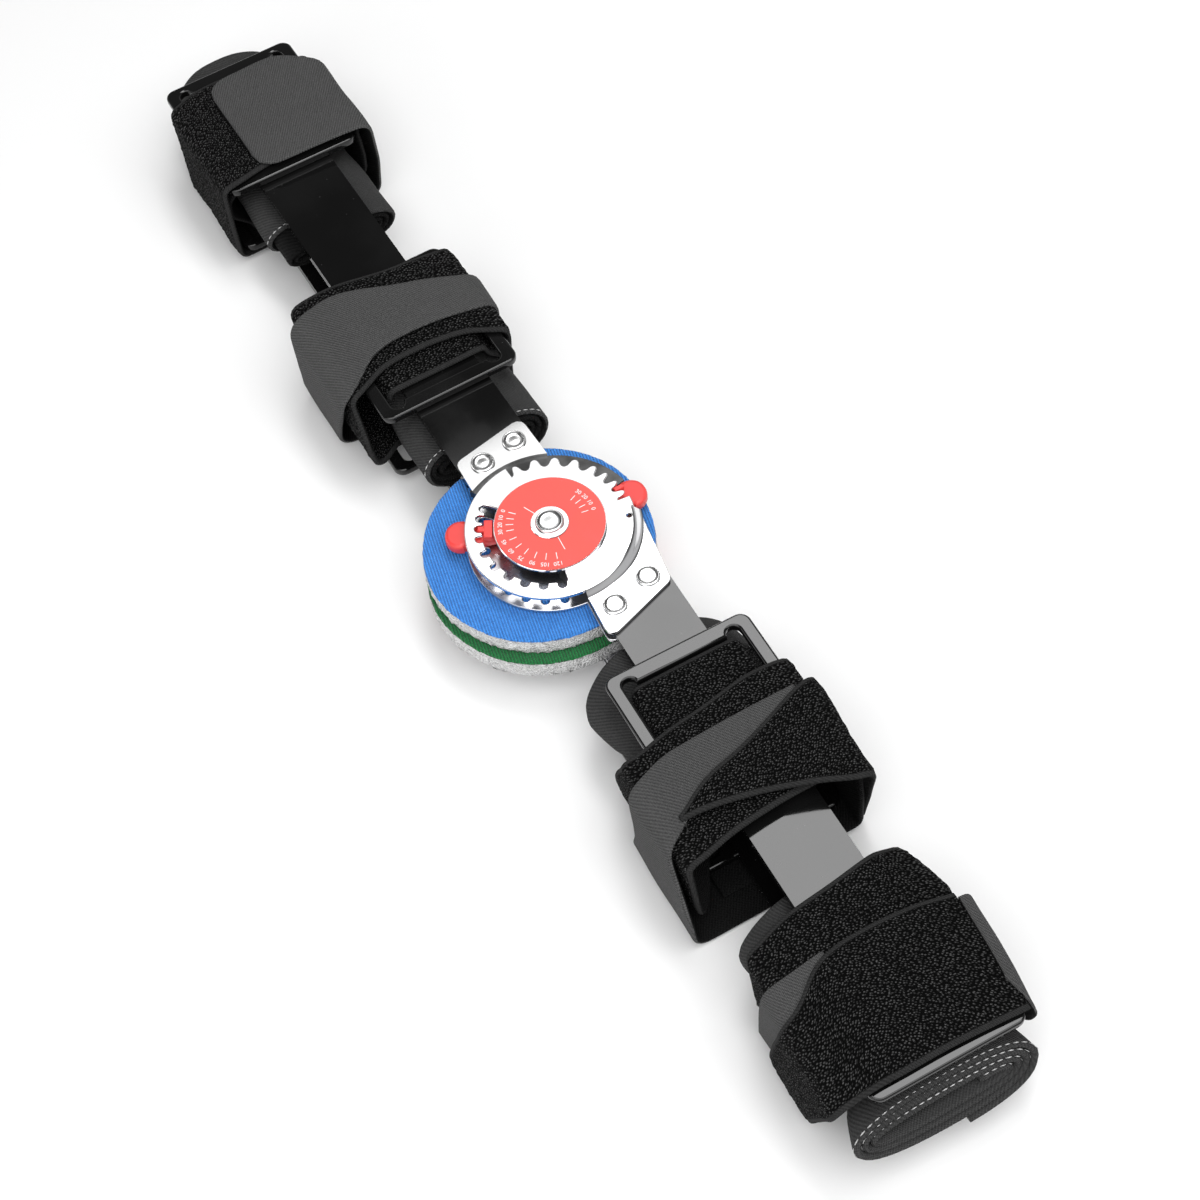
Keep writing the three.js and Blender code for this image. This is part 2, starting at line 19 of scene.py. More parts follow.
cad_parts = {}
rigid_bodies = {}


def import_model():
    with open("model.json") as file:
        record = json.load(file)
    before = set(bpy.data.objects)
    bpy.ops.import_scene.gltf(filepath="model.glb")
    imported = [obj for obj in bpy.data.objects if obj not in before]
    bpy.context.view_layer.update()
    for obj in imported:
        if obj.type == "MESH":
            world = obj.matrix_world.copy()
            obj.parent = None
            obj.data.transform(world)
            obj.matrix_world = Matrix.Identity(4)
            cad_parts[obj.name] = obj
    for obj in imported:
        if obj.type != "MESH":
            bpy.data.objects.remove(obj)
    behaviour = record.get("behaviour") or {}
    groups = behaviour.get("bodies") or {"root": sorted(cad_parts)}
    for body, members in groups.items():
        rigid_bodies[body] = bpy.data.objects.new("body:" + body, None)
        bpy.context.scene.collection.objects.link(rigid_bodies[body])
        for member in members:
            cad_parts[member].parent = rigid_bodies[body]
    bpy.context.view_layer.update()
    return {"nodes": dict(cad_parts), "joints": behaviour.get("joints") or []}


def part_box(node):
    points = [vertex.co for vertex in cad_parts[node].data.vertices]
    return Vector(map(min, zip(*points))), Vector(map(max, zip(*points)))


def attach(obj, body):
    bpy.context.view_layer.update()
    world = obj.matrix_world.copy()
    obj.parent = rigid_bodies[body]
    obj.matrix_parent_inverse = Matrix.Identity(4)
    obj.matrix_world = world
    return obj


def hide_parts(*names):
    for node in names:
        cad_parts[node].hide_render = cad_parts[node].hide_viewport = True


for leftover in list(bpy.data.objects):
    bpy.data.objects.remove(leftover)
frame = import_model()
nodes = frame["nodes"]
scene = bpy.context.scene

# %% [markdown]
# ## The camera
# The photograph was taken from above the calf end, a little to one side, with a long lens. The hinge
# is the best known place on the object, so the camera is placed from it: a heading over the floor, a
# look-down angle and a small roll give the three axes of the camera directly, with no aiming helper.

# %% Camera at the photograph's viewing angle
MM = 0.001
KNEE = next(joint for joint in frame["joints"] if joint["name"] == "knee_hinge")
PIVOT = np.array(KNEE["pos_m"]) / MM
CAMERA_FROM_HINGE = Vector((0.4288, -0.1621, 0.6734))
HEADING = math.radians(157.6)
LOOK_DOWN = math.radians(56.985)
ROLL = math.radians(7.296)
LENS = 70.8

level = Vector((math.cos(HEADING), math.sin(HEADING), 0))
side_on = Vector((level.y, -level.x, 0))
look = math.cos(LOOK_DOWN) * level - math.sin(LOOK_DOWN) * Vector((0, 0, 1))
lift = math.sin(LOOK_DOWN) * level + math.cos(LOOK_DOWN) * Vector((0, 0, 1))
right = math.cos(ROLL) * side_on - math.sin(ROLL) * lift
up = math.sin(ROLL) * side_on + math.cos(ROLL) * lift

lens = bpy.data.cameras.new("photo_camera")
lens.lens = LENS
lens.sensor_width = 36
lens.clip_start = 0.01
camera = bpy.data.objects.new("photo_camera", lens)
spot = Vector(KNEE["pos_m"]) + CAMERA_FROM_HINGE
camera.matrix_world = Matrix.Translation(spot) @ Matrix((right, up, -look)).transposed().to_4x4()
scene.collection.objects.link(camera)
scene.camera = camera
print("camera", [round(v, 3) for v in spot], "lens", LENS)

# %% [markdown]
# ## Node helpers
# Every finish here is a small tree of shader nodes. One helper adds a node and sets or links its
# inputs, so that a finish reads as a short list. Shared effects become node groups: a group is built
# once, and each finish places it with its own values.

# %% Helpers for shader trees


def put(tree, kind, inputs=(), **settings):
    """Adds a node; each input is a plain value or another node's output."""
    made = tree.nodes.new("ShaderNode" + kind)
    for key, value in settings.items():
        setattr(made, key, value)
    pairs = inputs.items() if isinstance(inputs, dict) else enumerate(inputs)
    for key, value in pairs:
        if isinstance(value, bpy.types.NodeSocket):
            tree.links.new(value, made.inputs[key])
        elif value is not None:
            made.inputs[key].default_value = value
    return made


def sums(tree, operation, *values):
    return put(tree, "Math", values, operation=operation).outputs[0]


def ramp(tree, value, low, high, to_low=0.0, to_high=1.0):
    """Maps low..high to to_low..to_high, smoothly and clamped."""
    made = put(tree, "MapRange", [value, low, high, to_low, to_high], interpolation_type="SMOOTHSTEP")
    return made.outputs[0]


def noise(tree, at, scale, detail):
    return put(tree, "TexNoise", {"Vector": at, "Scale": scale, "Detail": detail}).outputs[0]


def mix(tree, factor, first, second):
    made = put(tree, "Mix", {0: factor, 6: first, 7: second}, data_type="RGBA")
    return made.outputs[2]


def grey(value):
    return (value, value, value, 1.0)


def new_group(name, inputs, outputs):
    """A node group; inputs are (label, socket kind, value) and outputs (label, socket kind)."""
    tree = bpy.data.node_groups.new(name, "ShaderNodeTree")
    for label, kind, value in inputs:
        socket = tree.interface.new_socket(label, in_out="INPUT", socket_type="NodeSocket" + kind)
        socket.default_value = value
    for label, kind in outputs:
        tree.interface.new_socket(label, in_out="OUTPUT", socket_type="NodeSocket" + kind)
    return tree, tree.nodes.new("NodeGroupInput").outputs, tree.nodes.new("NodeGroupOutput").inputs


def use(tree, group, **inputs):
    return put(tree, "Group", inputs, node_tree=group).outputs


def new_finish(name, **plain):
    """A material with one Principled shader; plain values go straight on its sockets."""
    material = bpy.data.materials.new(name)
    material.use_nodes = True
    tree = material.node_tree
    shader = tree.nodes["Principled BSDF"]
    for key, value in plain.items():
        shader.inputs[key.replace("_", " ")].default_value = value
    return material, tree, shader.inputs


def bump(tree, sockets, height, distance):
    made = put(tree, "Bump", {"Strength": 1.0, "Distance": distance, "Height": height})
    tree.links.new(made.outputs[0], sockets["Normal"])


print("shader helpers ready")

# %% [markdown]
# ## Floor and studio light
# The photograph stands on plain white under soft boxes. Glossy black paint shows what it mirrors, so
# the boxes are placed by their reflections: the calf bars and the lower frames mirror the bright box
# and look grey, the hinge mirrors a weaker one, and the thigh bars look past both and stay black.

# %% Soft boxes, world and floor


def soft_box(name, middle, size, radiance, turn=(0, 0, 0)):
    light = bpy.data.lights.new(name, "AREA")
    light.shape = "RECTANGLE"
    light.size, light.size_y = size
    light.energy = 4 * radiance * size[0] * size[1]
    made = bpy.data.objects.new(name, light)
    made.location = middle
    made.rotation_euler = [math.radians(v) for v in turn]
    scene.collection.objects.link(made)
    return made


BOX_HEIGHT = 1.02
soft_box("bar_box", (-0.29, 0.265, BOX_HEIGHT), (0.56, 0.30), 5.4)
for order, radiance in enumerate((1.12, 1.0, 0.92)):
    soft_box(f"hinge_box_{order}", (-0.601 - 0.056 * order, 0.265, BOX_HEIGHT), (0.056, 0.34), radiance)
soft_box("room_box", (0.62, 0.0, 1.25), (1.3, 1.9), 2.3, (0, 18, 0))
soft_box("edge_card", (-0.62, -0.95, 0.30), (0.7, 0.22), 2.2, (76, 0, -33))
soft_box("front_fill", (0.55, -1.05, 0.55), (1.0, 0.6), 1.3, (64, 0, 25))

world = bpy.data.worlds.new("studio")
scene.world = world
world.use_nodes = True
sky = world.node_tree
direction = put(sky, "TexCoord").outputs["Generated"]
height = put(sky, "SeparateXYZ", [direction]).outputs["Z"]
sky_colour = mix(sky, ramp(sky, height, 0.2, 0.72), grey(0.50), grey(0.09))
sky.links.new(sky_colour, sky.nodes["Background"].inputs["Color"])
sky.nodes["Background"].inputs["Strength"].default_value = 1.0

FLOOR_REACH = 6.0
FLOOR_DROP = -0.0003
corners = [(-1, -1), (1, -1), (1, 1), (-1, 1)]
floor_points = [(x * FLOOR_REACH, y * FLOOR_REACH, FLOOR_DROP) for x, y in corners]
floor_mesh = bpy.data.meshes.new("floor")
floor_mesh.from_pydata(floor_points, [], [(0, 1, 2, 3)])
floor = bpy.data.objects.new("floor", floor_mesh)
scene.collection.objects.link(floor)
paper, tree, sockets = new_finish("white_paper", Roughness=0.75)
cloud = noise(tree, None, 3.0, 3.0)
tree.links.new(mix(tree, cloud, grey(0.88), grey(0.91)), sockets["Base Color"])
floor_mesh.materials.append(paper)
scene.view_settings.view_transform = "Standard"

# %% [markdown]
# ## Shared effects
# *Surface life* gives every hard part soft smudges and a few dust specks. *Pile loops* draws the loop
# side of the straps: slanted rows of loops, some of which get a painted highlight, and a smooth woven edge.
# *Tape weave* is the fine twill of hook tape, webbing backs and edges, and *knit ribs* the columns of
# the pad covers. The cloth effects read the place on the cloth in millimetres, which each cloth mesh
# carries in its points, so a weave follows its strap round every corner.

# %% Surface life group
surface_life, enter, leave = new_group(
    "surface life", [("Scale", "Float", 40.0), ("Speck size", "Float", 900.0)],
    [("Smudge", "Float"), ("Speck", "Float")])
at = put(surface_life, "TexCoord").outputs["Object"]
smudge = noise(surface_life, at, enter["Scale"], 4.0)
surface_life.links.new(ramp(surface_life, smudge, 0.35, 0.7), leave["Smudge"])
cells = put(surface_life, "TexVoronoi", {"Vector": at, "Scale": enter["Speck size"]})
chosen = put(surface_life, "SeparateColor", [cells.outputs["Color"]]).outputs[0]
near_cell = ramp(surface_life, cells.outputs["Distance"], 0.30, 0.12)
rare = sums(surface_life, "GREATER_THAN", chosen, 0.985)
surface_life.links.new(sums(surface_life, "MULTIPLY", near_cell, rare), leave["Speck"])
print("group", surface_life.name)

# %% Pile loops group
pile_loops, enter, leave = new_group(
    "pile loops",
    [("Place", "Vector", (0, 0, 0)), ("Pitch", "Float", 1.5), ("Selvedge", "Float", 1.9)],
    [("Height", "Float"), ("Painted highlight", "Float"), ("Ground", "Float")])
calc = partial(sums, pile_loops)
fade = partial(ramp, pile_loops)
part = put(pile_loops, "SeparateXYZ", [enter["Place"]]).outputs
across = calc("DIVIDE", part["X"], enter["Pitch"])
along = calc("DIVIDE", part["Y"], enter["Pitch"])
slanted = calc("MULTIPLY_ADD", across, 0.7, calc("MULTIPLY", along, 0.62))
crossed = calc("MULTIPLY_ADD", along, -0.75, across)
spot = put(pile_loops, "CombineXYZ", [crossed, slanted, 0.0]).outputs[0]
cells = {"Vector": spot, "Scale": 1.0, "Randomness": 0.75}
loops = put(pile_loops, "TexVoronoi", cells, voronoi_dimensions="2D").outputs
crown = fade(loops["Distance"], 0.62, 0.05)
fuzz = noise(pile_loops, spot, 4.0, 2.0)
ground = fade(part["Z"], calc("SUBTRACT", enter["Selvedge"], 0.5), enter["Selvedge"])
tall = calc("MULTIPLY", calc("MULTIPLY_ADD", fuzz, 0.5, crown), ground)
chance = put(pile_loops, "SeparateColor", [loops["Color"]]).outputs[1]
# Painted highlight: the crowns of some loops are lightened as if they caught the light.
shine = calc("MULTIPLY", fade(loops["Distance"], 0.45, 0.1), fade(chance, 0.0, 1.0, 0.25, 1.0))
pile_loops.links.new(tall, leave["Height"])
pile_loops.links.new(calc("MULTIPLY", shine, ground), leave["Painted highlight"])
pile_loops.links.new(ground, leave["Ground"])
print("group", pile_loops.name)

# %% Tape weave and knit ribs groups
tape_weave, enter, leave = new_group(
    "tape weave", [("Place", "Vector", (0, 0, 0)), ("Pitch", "Float", 1.0)],
    [("Height", "Float"), ("Shade", "Float")])
calc = partial(sums, tape_weave)
part = put(tape_weave, "SeparateXYZ", [enter["Place"]]).outputs
turns = calc("DIVIDE", math.tau, enter["Pitch"])
diagonal = calc("MULTIPLY_ADD", part["X"], 0.6, part["Y"])
twill = calc("SINE", calc("MULTIPLY", diagonal, turns))
weft = calc("SINE", calc("MULTIPLY", part["X"], calc("MULTIPLY", turns, 1.3)))
woven = calc("MULTIPLY_ADD", calc("MULTIPLY", twill, weft), 0.5, 0.5)
slub = noise(tape_weave, enter["Place"], 1.6, 3.0)
shade = ramp(tape_weave, calc("MULTIPLY_ADD", woven, 0.8, slub), 0.4, 1.35)
tape_weave.links.new(calc("MULTIPLY_ADD", slub, 0.6, woven), leave["Height"])
tape_weave.links.new(shade, leave["Shade"])

knit_ribs, enter, leave = new_group(
    "knit ribs", [("Place", "Vector", (0, 0, 0)), ("Pitch", "Float", 1.3)],
    [("Height", "Float"), ("Shade", "Float")])
calc = partial(sums, knit_ribs)
part = put(knit_ribs, "SeparateXYZ", [enter["Place"]]).outputs
turns = calc("DIVIDE", math.tau, enter["Pitch"])
rib = calc("ABSOLUTE", calc("SINE", calc("MULTIPLY", part["X"], calc("MULTIPLY", turns, 0.5))))
lean = calc("MULTIPLY_ADD", rib, calc("MULTIPLY", enter["Pitch"], 0.5), part["Y"])
stitch = calc("MULTIPLY_ADD", calc("SINE", calc("MULTIPLY", lean, turns)), 0.5, 0.5)
wool = noise(knit_ribs, enter["Place"], 1.1, 4.0)
body = calc("MULTIPLY_ADD", stitch, 0.4, rib)
shade = ramp(knit_ribs, calc("MULTIPLY_ADD", body, 0.45, wool), 0.45, 1.25)
knit_ribs.links.new(calc("MULTIPLY_ADD", wool, 0.5, body), leave["Height"])
knit_ribs.links.new(shade, leave["Shade"])
print("groups", tape_weave.name, "and", knit_ribs.name)

# %% [markdown]
# ## Finishes of the hard parts
# The bars and frames are enamelled black with a wet gloss, the hinge plates and rivets are polished
# steel, and the dial and stops are moulded plastic. Each takes its smudges and specks from the shared
# group, with roughness rising a little where hands have touched it. The thigh plate has two tones: its
# riveted neck is bright, and the sector below it, between the other plates, is rougher and is painted
# dark for the shade that falls there.

# %% Paint, steel and plastic


def hard_finish(name, dark, light, rough, scale, speck, **plain):
    """A smooth finish: its colour and roughness drift with the smudges, and specks of dust lie on it."""
    material, tree, sockets = new_finish(name, **plain)
    life = use(tree, surface_life, Scale=scale)
    tone = mix(tree, life["Smudge"], dark, light)
    dusty = sums(tree, "MULTIPLY", life["Speck"], speck)
    tree.links.new(mix(tree, dusty, tone, grey(0.55)), sockets["Base Color"])
    spread = ramp(tree, life["Smudge"], 0.0, 1.0, rough[0], rough[1])
    tree.links.new(spread, sockets["Roughness"])
    return material


gloss_black = hard_finish("gloss_black_enamel", grey(0.003), grey(0.006), (0.05, 0.11), 30.0, 0.05)
steel = hard_finish(
    "polished_steel", (0.88, 0.88, 0.89, 1), (0.82, 0.82, 0.84, 1), (0.05, 0.11), 60.0, 0.2, Metallic=1.0)
rivet_steel = hard_finish("rivet_steel", grey(0.88), grey(0.80), (0.20, 0.28), 60.0, 0.2, Metallic=1.0)
# Painted reflection: a darker steel colour for rivet dish walls, in place of the dark surroundings they
# mirror.
wall_reflection_paint = hard_finish("rivet_wall_steel", grey(0.24), grey(0.12), (0.25, 0.40), 60.0, 0.2, Metallic=1.0)
satin_steel = hard_finish(
    "satin_steel", (0.66, 0.66, 0.68, 1), (0.56, 0.56, 0.58, 1), (0.22, 0.36), 80.0, 0.3, Metallic=1.0)
dial_red = hard_finish(
    "dial_red_plastic", (0.78, 0.085, 0.07, 1), (0.84, 0.10, 0.08, 1), (0.42, 0.55), 90.0, 0.05)
stop_red = hard_finish(
    "stop_red_plastic", (0.74, 0.05, 0.045, 1), (0.80, 0.065, 0.06, 1), (0.3, 0.45), 70.0, 0.05)
print_white = hard_finish("print_white", grey(0.82), grey(0.9), (0.4, 0.5), 80.0, 0.0)

NECK_ABOVE = 0.01396
neck_steel, tree, sockets = new_finish("neck_steel", Metallic=1.0)
life = use(tree, surface_life, Scale=70.0)
rise = put(tree, "SeparateXYZ", [put(tree, "TexCoord").outputs["Object"]]).outputs["Z"]
from_middle = sums(tree, "ABSOLUTE", sums(tree, "SUBTRACT", rise, KNEE["pos_m"][2]))
neck_part = sums(tree, "GREATER_THAN", from_middle, NECK_ABOVE)
# Painted shade: the sector between the plates is coloured dark for the shade that falls there; its higher
# roughness is the plate's own.
sector_painted_shade = mix(tree, life["Smudge"], grey(0.05), grey(0.16))
bright = mix(tree, life["Smudge"], grey(0.88), grey(0.82))
tree.links.new(mix(tree, neck_part, sector_painted_shade, bright), sockets["Base Color"])
tree.links.new(ramp(tree, neck_part, 0.0, 1.0, 0.45, 0.07), sockets["Roughness"])
print("hard finishes", [m.name for m in (gloss_black, steel, dial_red, stop_red, print_white)])

# %% [markdown]
# ## Finishes of the cloth
# The straps are loop pile on their outer face and plain tape on the inner one, coloured near black as
# painted shade. The tabs are the grey woven back of hook tape. The rolled wraps are a dull charcoal
# knit, and the pads are a bright ribbed knit bonded to open-cell foam. All of them read the point
# attribute called weave.

# %% Cloth finishes


def cloth_place(tree):
    return put(tree, "Attribute", attribute_name="weave").outputs["Vector"]


def pile_finish(name, dark, highlight_grey, edge_dark, edge_light, pitch):
    material, tree, sockets = new_finish(name, Roughness=0.8, Specular_IOR_Level=0.06)
    place = cloth_place(tree)
    loops = use(tree, pile_loops, Place=place, Pitch=pitch)
    weave = use(tree, tape_weave, Place=place, Pitch=0.9)
    # Painted highlight: the loop crowns are mixed towards the highlight grey.
    nap = mix(tree, loops["Painted highlight"], dark, highlight_grey)
    edge = mix(tree, weave["Shade"], edge_dark, edge_light)
    tree.links.new(mix(tree, loops["Ground"], edge, nap), sockets["Base Color"])
    relief = sums(tree, "MULTIPLY_ADD", weave["Height"], 0.15, loops["Height"])
    bump(tree, sockets, relief, 0.0009)
    return material


def tape_finish(name, dark, light, pitch, relief):
    material, tree, sockets = new_finish(name, Specular_IOR_Level=0.12)
    weave = use(tree, tape_weave, Place=cloth_place(tree), Pitch=pitch)
    tree.links.new(mix(tree, weave["Shade"], dark, light), sockets["Base Color"])
    tree.links.new(ramp(tree, weave["Shade"], 0.0, 1.0, 0.9, 0.7), sockets["Roughness"])
    bump(tree, sockets, weave["Height"], relief)
    return material


def knit_finish(name, dark, light, pitch):
    material, tree, sockets = new_finish(name, Roughness=0.85, Specular_IOR_Level=0.2, Sheen_Weight=0.15)
    knit = use(tree, knit_ribs, Place=cloth_place(tree), Pitch=pitch)
    tree.links.new(mix(tree, knit["Shade"], dark, light), sockets["Base Color"])
    bump(tree, sockets, knit["Height"], 0.0005)
    return material


loop_pile = pile_finish("loop_pile", grey(0.0015), grey(0.105), grey(0.012), grey(0.036), 1.0)
hook_tape = tape_finish("hook_tape_back", grey(0.042), grey(0.108), 1.1, 0.0004)
# Painted shade: inner faces, cut ends and hidden roll turns get this near-black tape.
back_tape_painted_shade = tape_finish("webbing_back_painted_shade", grey(0.003), grey(0.010), 1.2, 0.0003)
wrap_knit = tape_finish("wrap_knit", grey(0.026), grey(0.060), 1.0, 0.0003)
blue_knit = knit_finish("blue_knit", (0.032, 0.19, 0.63, 1), (0.068, 0.33, 0.92, 1), 1.0)
green_knit = knit_finish("green_knit", (0.008, 0.11, 0.03, 1), (0.02, 0.22, 0.06, 1), 1.0)
thread = tape_finish("white_thread", grey(0.55), grey(0.75), 0.5, 0.0001)

foam, tree, sockets = new_finish("open_cell_foam", Roughness=0.95, Specular_IOR_Level=0.1)
place = cloth_place(tree)
pores = put(tree, "TexVoronoi", {"Vector": place, "Scale": 1.5}).outputs["Distance"]
crumb = noise(tree, place, 0.9, 5.0)
depth = sums(tree, "MULTIPLY_ADD", crumb, 0.8, pores)
tree.links.new(mix(tree, ramp(tree, depth, 0.4, 1.2), grey(0.58), grey(0.84)), sockets["Base Color"])
bump(tree, sockets, depth, 0.0008)
print("cloth finishes", len(bpy.data.materials), "materials so far")

# %% [markdown]
# ## Making meshes
# Points are given as (x, y, h): along the bars, across them and up from the plane between the
# uprights. The thigh bars stand turned a little from the calf bars, so their pieces are drawn along
# the bar and turned with it. A piece made for the upper upright is mirrored to make the lower one.

# %% Mesh helpers
THIGH_TURN = 1.55
BARS = {"thigh": {"middle": 0.0, "turn": THIGH_TURN}, "calf": {"middle": 12.6, "turn": 0.0}}


def placed(points, turn=0.0):
    """Millimetres from the hinge to metres in the frame, turned about the hinge axis."""
    spots = np.array(points, float).reshape(-1, 3)
    c, s = math.cos(math.radians(turn)), math.sin(math.radians(turn))
    x = c * spots[:, 0] - s * spots[:, 1]
    y = s * spots[:, 0] + c * spots[:, 1]
    return (np.stack([x, y, spots[:, 2]], 1) + PIVOT) * MM


def new_piece(name, points, faces, materials, turn=0.0, face_materials=None, weave=None, smooth=True):
    mesh = bpy.data.meshes.new(name)
    mesh.from_pydata(placed(points, turn).tolist(), [], faces)
    for material in materials:
        mesh.materials.append(material)
    if face_materials is not None:
        mesh.polygons.foreach_set("material_index", np.array(face_materials, np.int32))
    if weave is not None:
        layer = mesh.attributes.new("weave", "FLOAT_VECTOR", "POINT")
        layer.data.foreach_set("vector", np.array(weave, np.float32).ravel())
    if smooth:
        mesh.shade_smooth()
    mesh.update()
    piece = bpy.data.objects.new(name, mesh)
    scene.collection.objects.link(piece)
    return piece


def settle(piece, body, slot, *replaced):
    """Puts a piece on the body that carries it and hides the CAD nodes that it stands for; slot is not
    used.
    """
    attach(piece, body)
    if replaced:
        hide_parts(*replaced)


def mirrored(points, faces):
    """The same piece for the lower upright."""
    return [(x, y, -h) for x, y, h in points], [tuple(reversed(face)) for face in faces]


def on_side(shape, side):
    """Points and faces as drawn for the upper upright (1), or mirrored for the lower one (-1)."""
    return shape if side > 0 else mirrored(*shape)


def hard_piece(name, shape, side, materials, sharp, body, slot, *replaced, turn=0.0, kinds=None):
    """A hard part of one upright, smooth but for the edges that are sharper than the angle."""
    made = new_piece(name, *on_side(shape, side), materials, turn, kinds)
    made.data.set_sharp_from_angle(angle=math.radians(sharp))
    settle(made, body, slot, *replaced)


print("mesh helpers ready, hinge axis at", PIVOT.round(2).tolist())

# %% Helpers for points and faces


def gathered(*parts):
    """Several lists of points and faces as one."""
    points = []
    faces = []
    for part_points, part_faces in parts:
        start = len(points)
        points += list(part_points)
        faces += [tuple(i + start for i in face) for face in part_faces]
    return points, faces


def polar(radius, degrees, h=0.0):
    angle = math.radians(degrees)
    return (radius * math.cos(angle), radius * math.sin(angle), h)


def on_circle(radius, degrees):
    return polar(radius, degrees)[:2]


def ring_faces(spokes, rows):
    """Faces between spokes of points all the way round, with a cap at the first and the last row."""
    faces = []
    for i in range(spokes):
        a, b = i * rows, (i + 1) % spokes * rows
        faces += [(a + k, b + k, b + k + 1, a + k + 1) for k in range(rows - 1)]
    faces.append(tuple(i * rows for i in reversed(range(spokes))))
    faces.append(tuple(i * rows + rows - 1 for i in range(spokes)))
    return faces


def tube_faces(rings, count):
    """Faces along a tube whose cross sections are closed rings of points."""
    faces = []
    for a in range(0, (rings - 1) * count, count):
        b = a + count
        for k in range(count):
            n = (k + 1) % count
            faces.append((a + k, a + n, b + n, b + k))
    return faces


def lathe(profile, sides, middle=(0, 0)):
    """Turns a profile of (radius, height) about an upright axis."""
    points = []
    for i in range(sides):
        for radius, h in profile:
            x, y = on_circle(radius, 360 * i / sides)
            points.append((x + middle[0], y + middle[1], h))
    return points, ring_faces(sides, len(profile))


print("point and face helpers ready")

# %% [markdown]
# ## Bars and thigh plates
# These have their true shape in the CAD frame, so they stay as they are. They get their finish and a
# fine bevel, because a real edge is never quite sharp and the thin bright line along the bars is the
# light caught on it.

# %% Dress the CAD parts that stay
UPRIGHTS = {"top": 1, "under": -1}
BEVEL_ANGLE = math.radians(32)


def dress(name, material, bevel):
    node = nodes[name]
    node.data.materials.clear()
    node.data.materials.append(material)
    soft_edge = node.modifiers.new("fine bevel", "BEVEL")
    soft_edge.width = bevel * MM
    soft_edge.segments = 2
    soft_edge.limit_method = "ANGLE"
    soft_edge.angle_limit = BEVEL_ANGLE
    soft_edge.harden_normals = True


for upright in UPRIGHTS:
    for bar in BARS:
        dress(f"{upright}_{bar}_bar", gloss_black, 0.4)
    dress(f"{upright}_thigh_plate", neck_steel, 0.2)
print("dressed", sum(1 for node in nodes.values() if node.modifiers), "CAD parts")

# %% [markdown]
# ## The toothed hinge plate
# The upper hinge plate is one stamping: a round disc with a notched window and a row of rounded teeth,
# pressed up from the neck that is riveted to the bar. The CAD solid has a plain step between disc and
# neck. Here the outlines are filled as flat curves with a small round edge, and the pressed step is
# lofted as an S in section, which gives the grey crescent that steel shows there.

# %% Outlines of the plate
DISC_RADIUS = 29.3
PIVOT_HOLE = 3.9
TEETH = {"from": 84, "to": 184, "root": 25.0, "tip": 28.5, "steps": 8, "square": 0.6}
WINDOW = {"from": 218, "to": 347, "inner": 16.0, "outer": 23.3, "tip": 25.8, "half": 1.5, "steps": 8}
NECK = {"from": -4, "to": 75, "left": (48.5, -3.4), "right": (38.4, 25.4), "corner": 3.0}
FLEXION_SETTINGS = {"zero": 222, "degrees": (0, 10, 20, 30, 45, 60, 75, 90, 105, 120)}
EXTENSION_SETTINGS = {"zero": 89, "degrees": (0, 10, 20, 30, 45, 60, 75, 90)}
CALF_RIVETS = ((37.7, 4.3), (33.5, 19.1))
THIGH_RIVETS = ((-37.4, -6.1), (-39.9, 7.7))
RIVET_HOLE = 2.4


def arc(radius, start, stop, steps, middle=(0, 0)):
    spots = [on_circle(radius, start + (stop - start) * i / steps) for i in range(steps + 1)]
    return [(x + middle[0], y + middle[1]) for x, y in spots]


def toothed_edge():
    """Rounded teeth, one for each extension setting."""
    tips = [EXTENSION_SETTINGS["zero"] + v for v in EXTENSION_SETTINGS["degrees"]]
    valleys = [TEETH["from"], *[(a + b) / 2 for a, b in zip(tips, tips[1:])], TEETH["to"]]
    middle = (TEETH["root"] + TEETH["tip"]) / 2
    swing = (TEETH["tip"] - TEETH["root"]) / 2
    points = []
    for tip, before, after in zip(tips, valleys, valleys[1:]):
        for start, stop, rising in ((before, tip, 1), (tip, after, -1)):
            for share in np.arange(TEETH["steps"]) / TEETH["steps"]:
                wave = math.cos(math.pi * share)
                square = math.copysign(abs(wave) ** TEETH["square"], wave)
                points.append(on_circle(middle - rising * swing * square, start + (stop - start) * share))
    points.append(on_circle(TEETH["root"], TEETH["to"]))
    return points


def window_edge():
    """The outline of the window, with a round notch for each flexion setting."""
    neck = WINDOW["tip"] - WINDOW["half"]
    mouth = math.degrees(WINDOW["half"] / WINDOW["outer"])
    points = [on_circle(WINDOW["outer"], WINDOW["from"])]
    for setting in FLEXION_SETTINGS["degrees"]:
        angle = FLEXION_SETTINGS["zero"] + setting
        points.append(on_circle(WINDOW["outer"], angle - mouth))
        for turn in np.radians(np.linspace(180, 0, WINDOW["steps"] + 1)):
            sideways = math.degrees(WINDOW["half"] * math.cos(turn) / neck)
            points.append(on_circle(neck + WINDOW["half"] * math.sin(turn), angle + sideways))
        points.append(on_circle(WINDOW["outer"], angle + mouth))
    points.append(on_circle(WINDOW["outer"], WINDOW["to"]))
    return points + arc(WINDOW["inner"], WINDOW["to"], WINDOW["from"], 40)


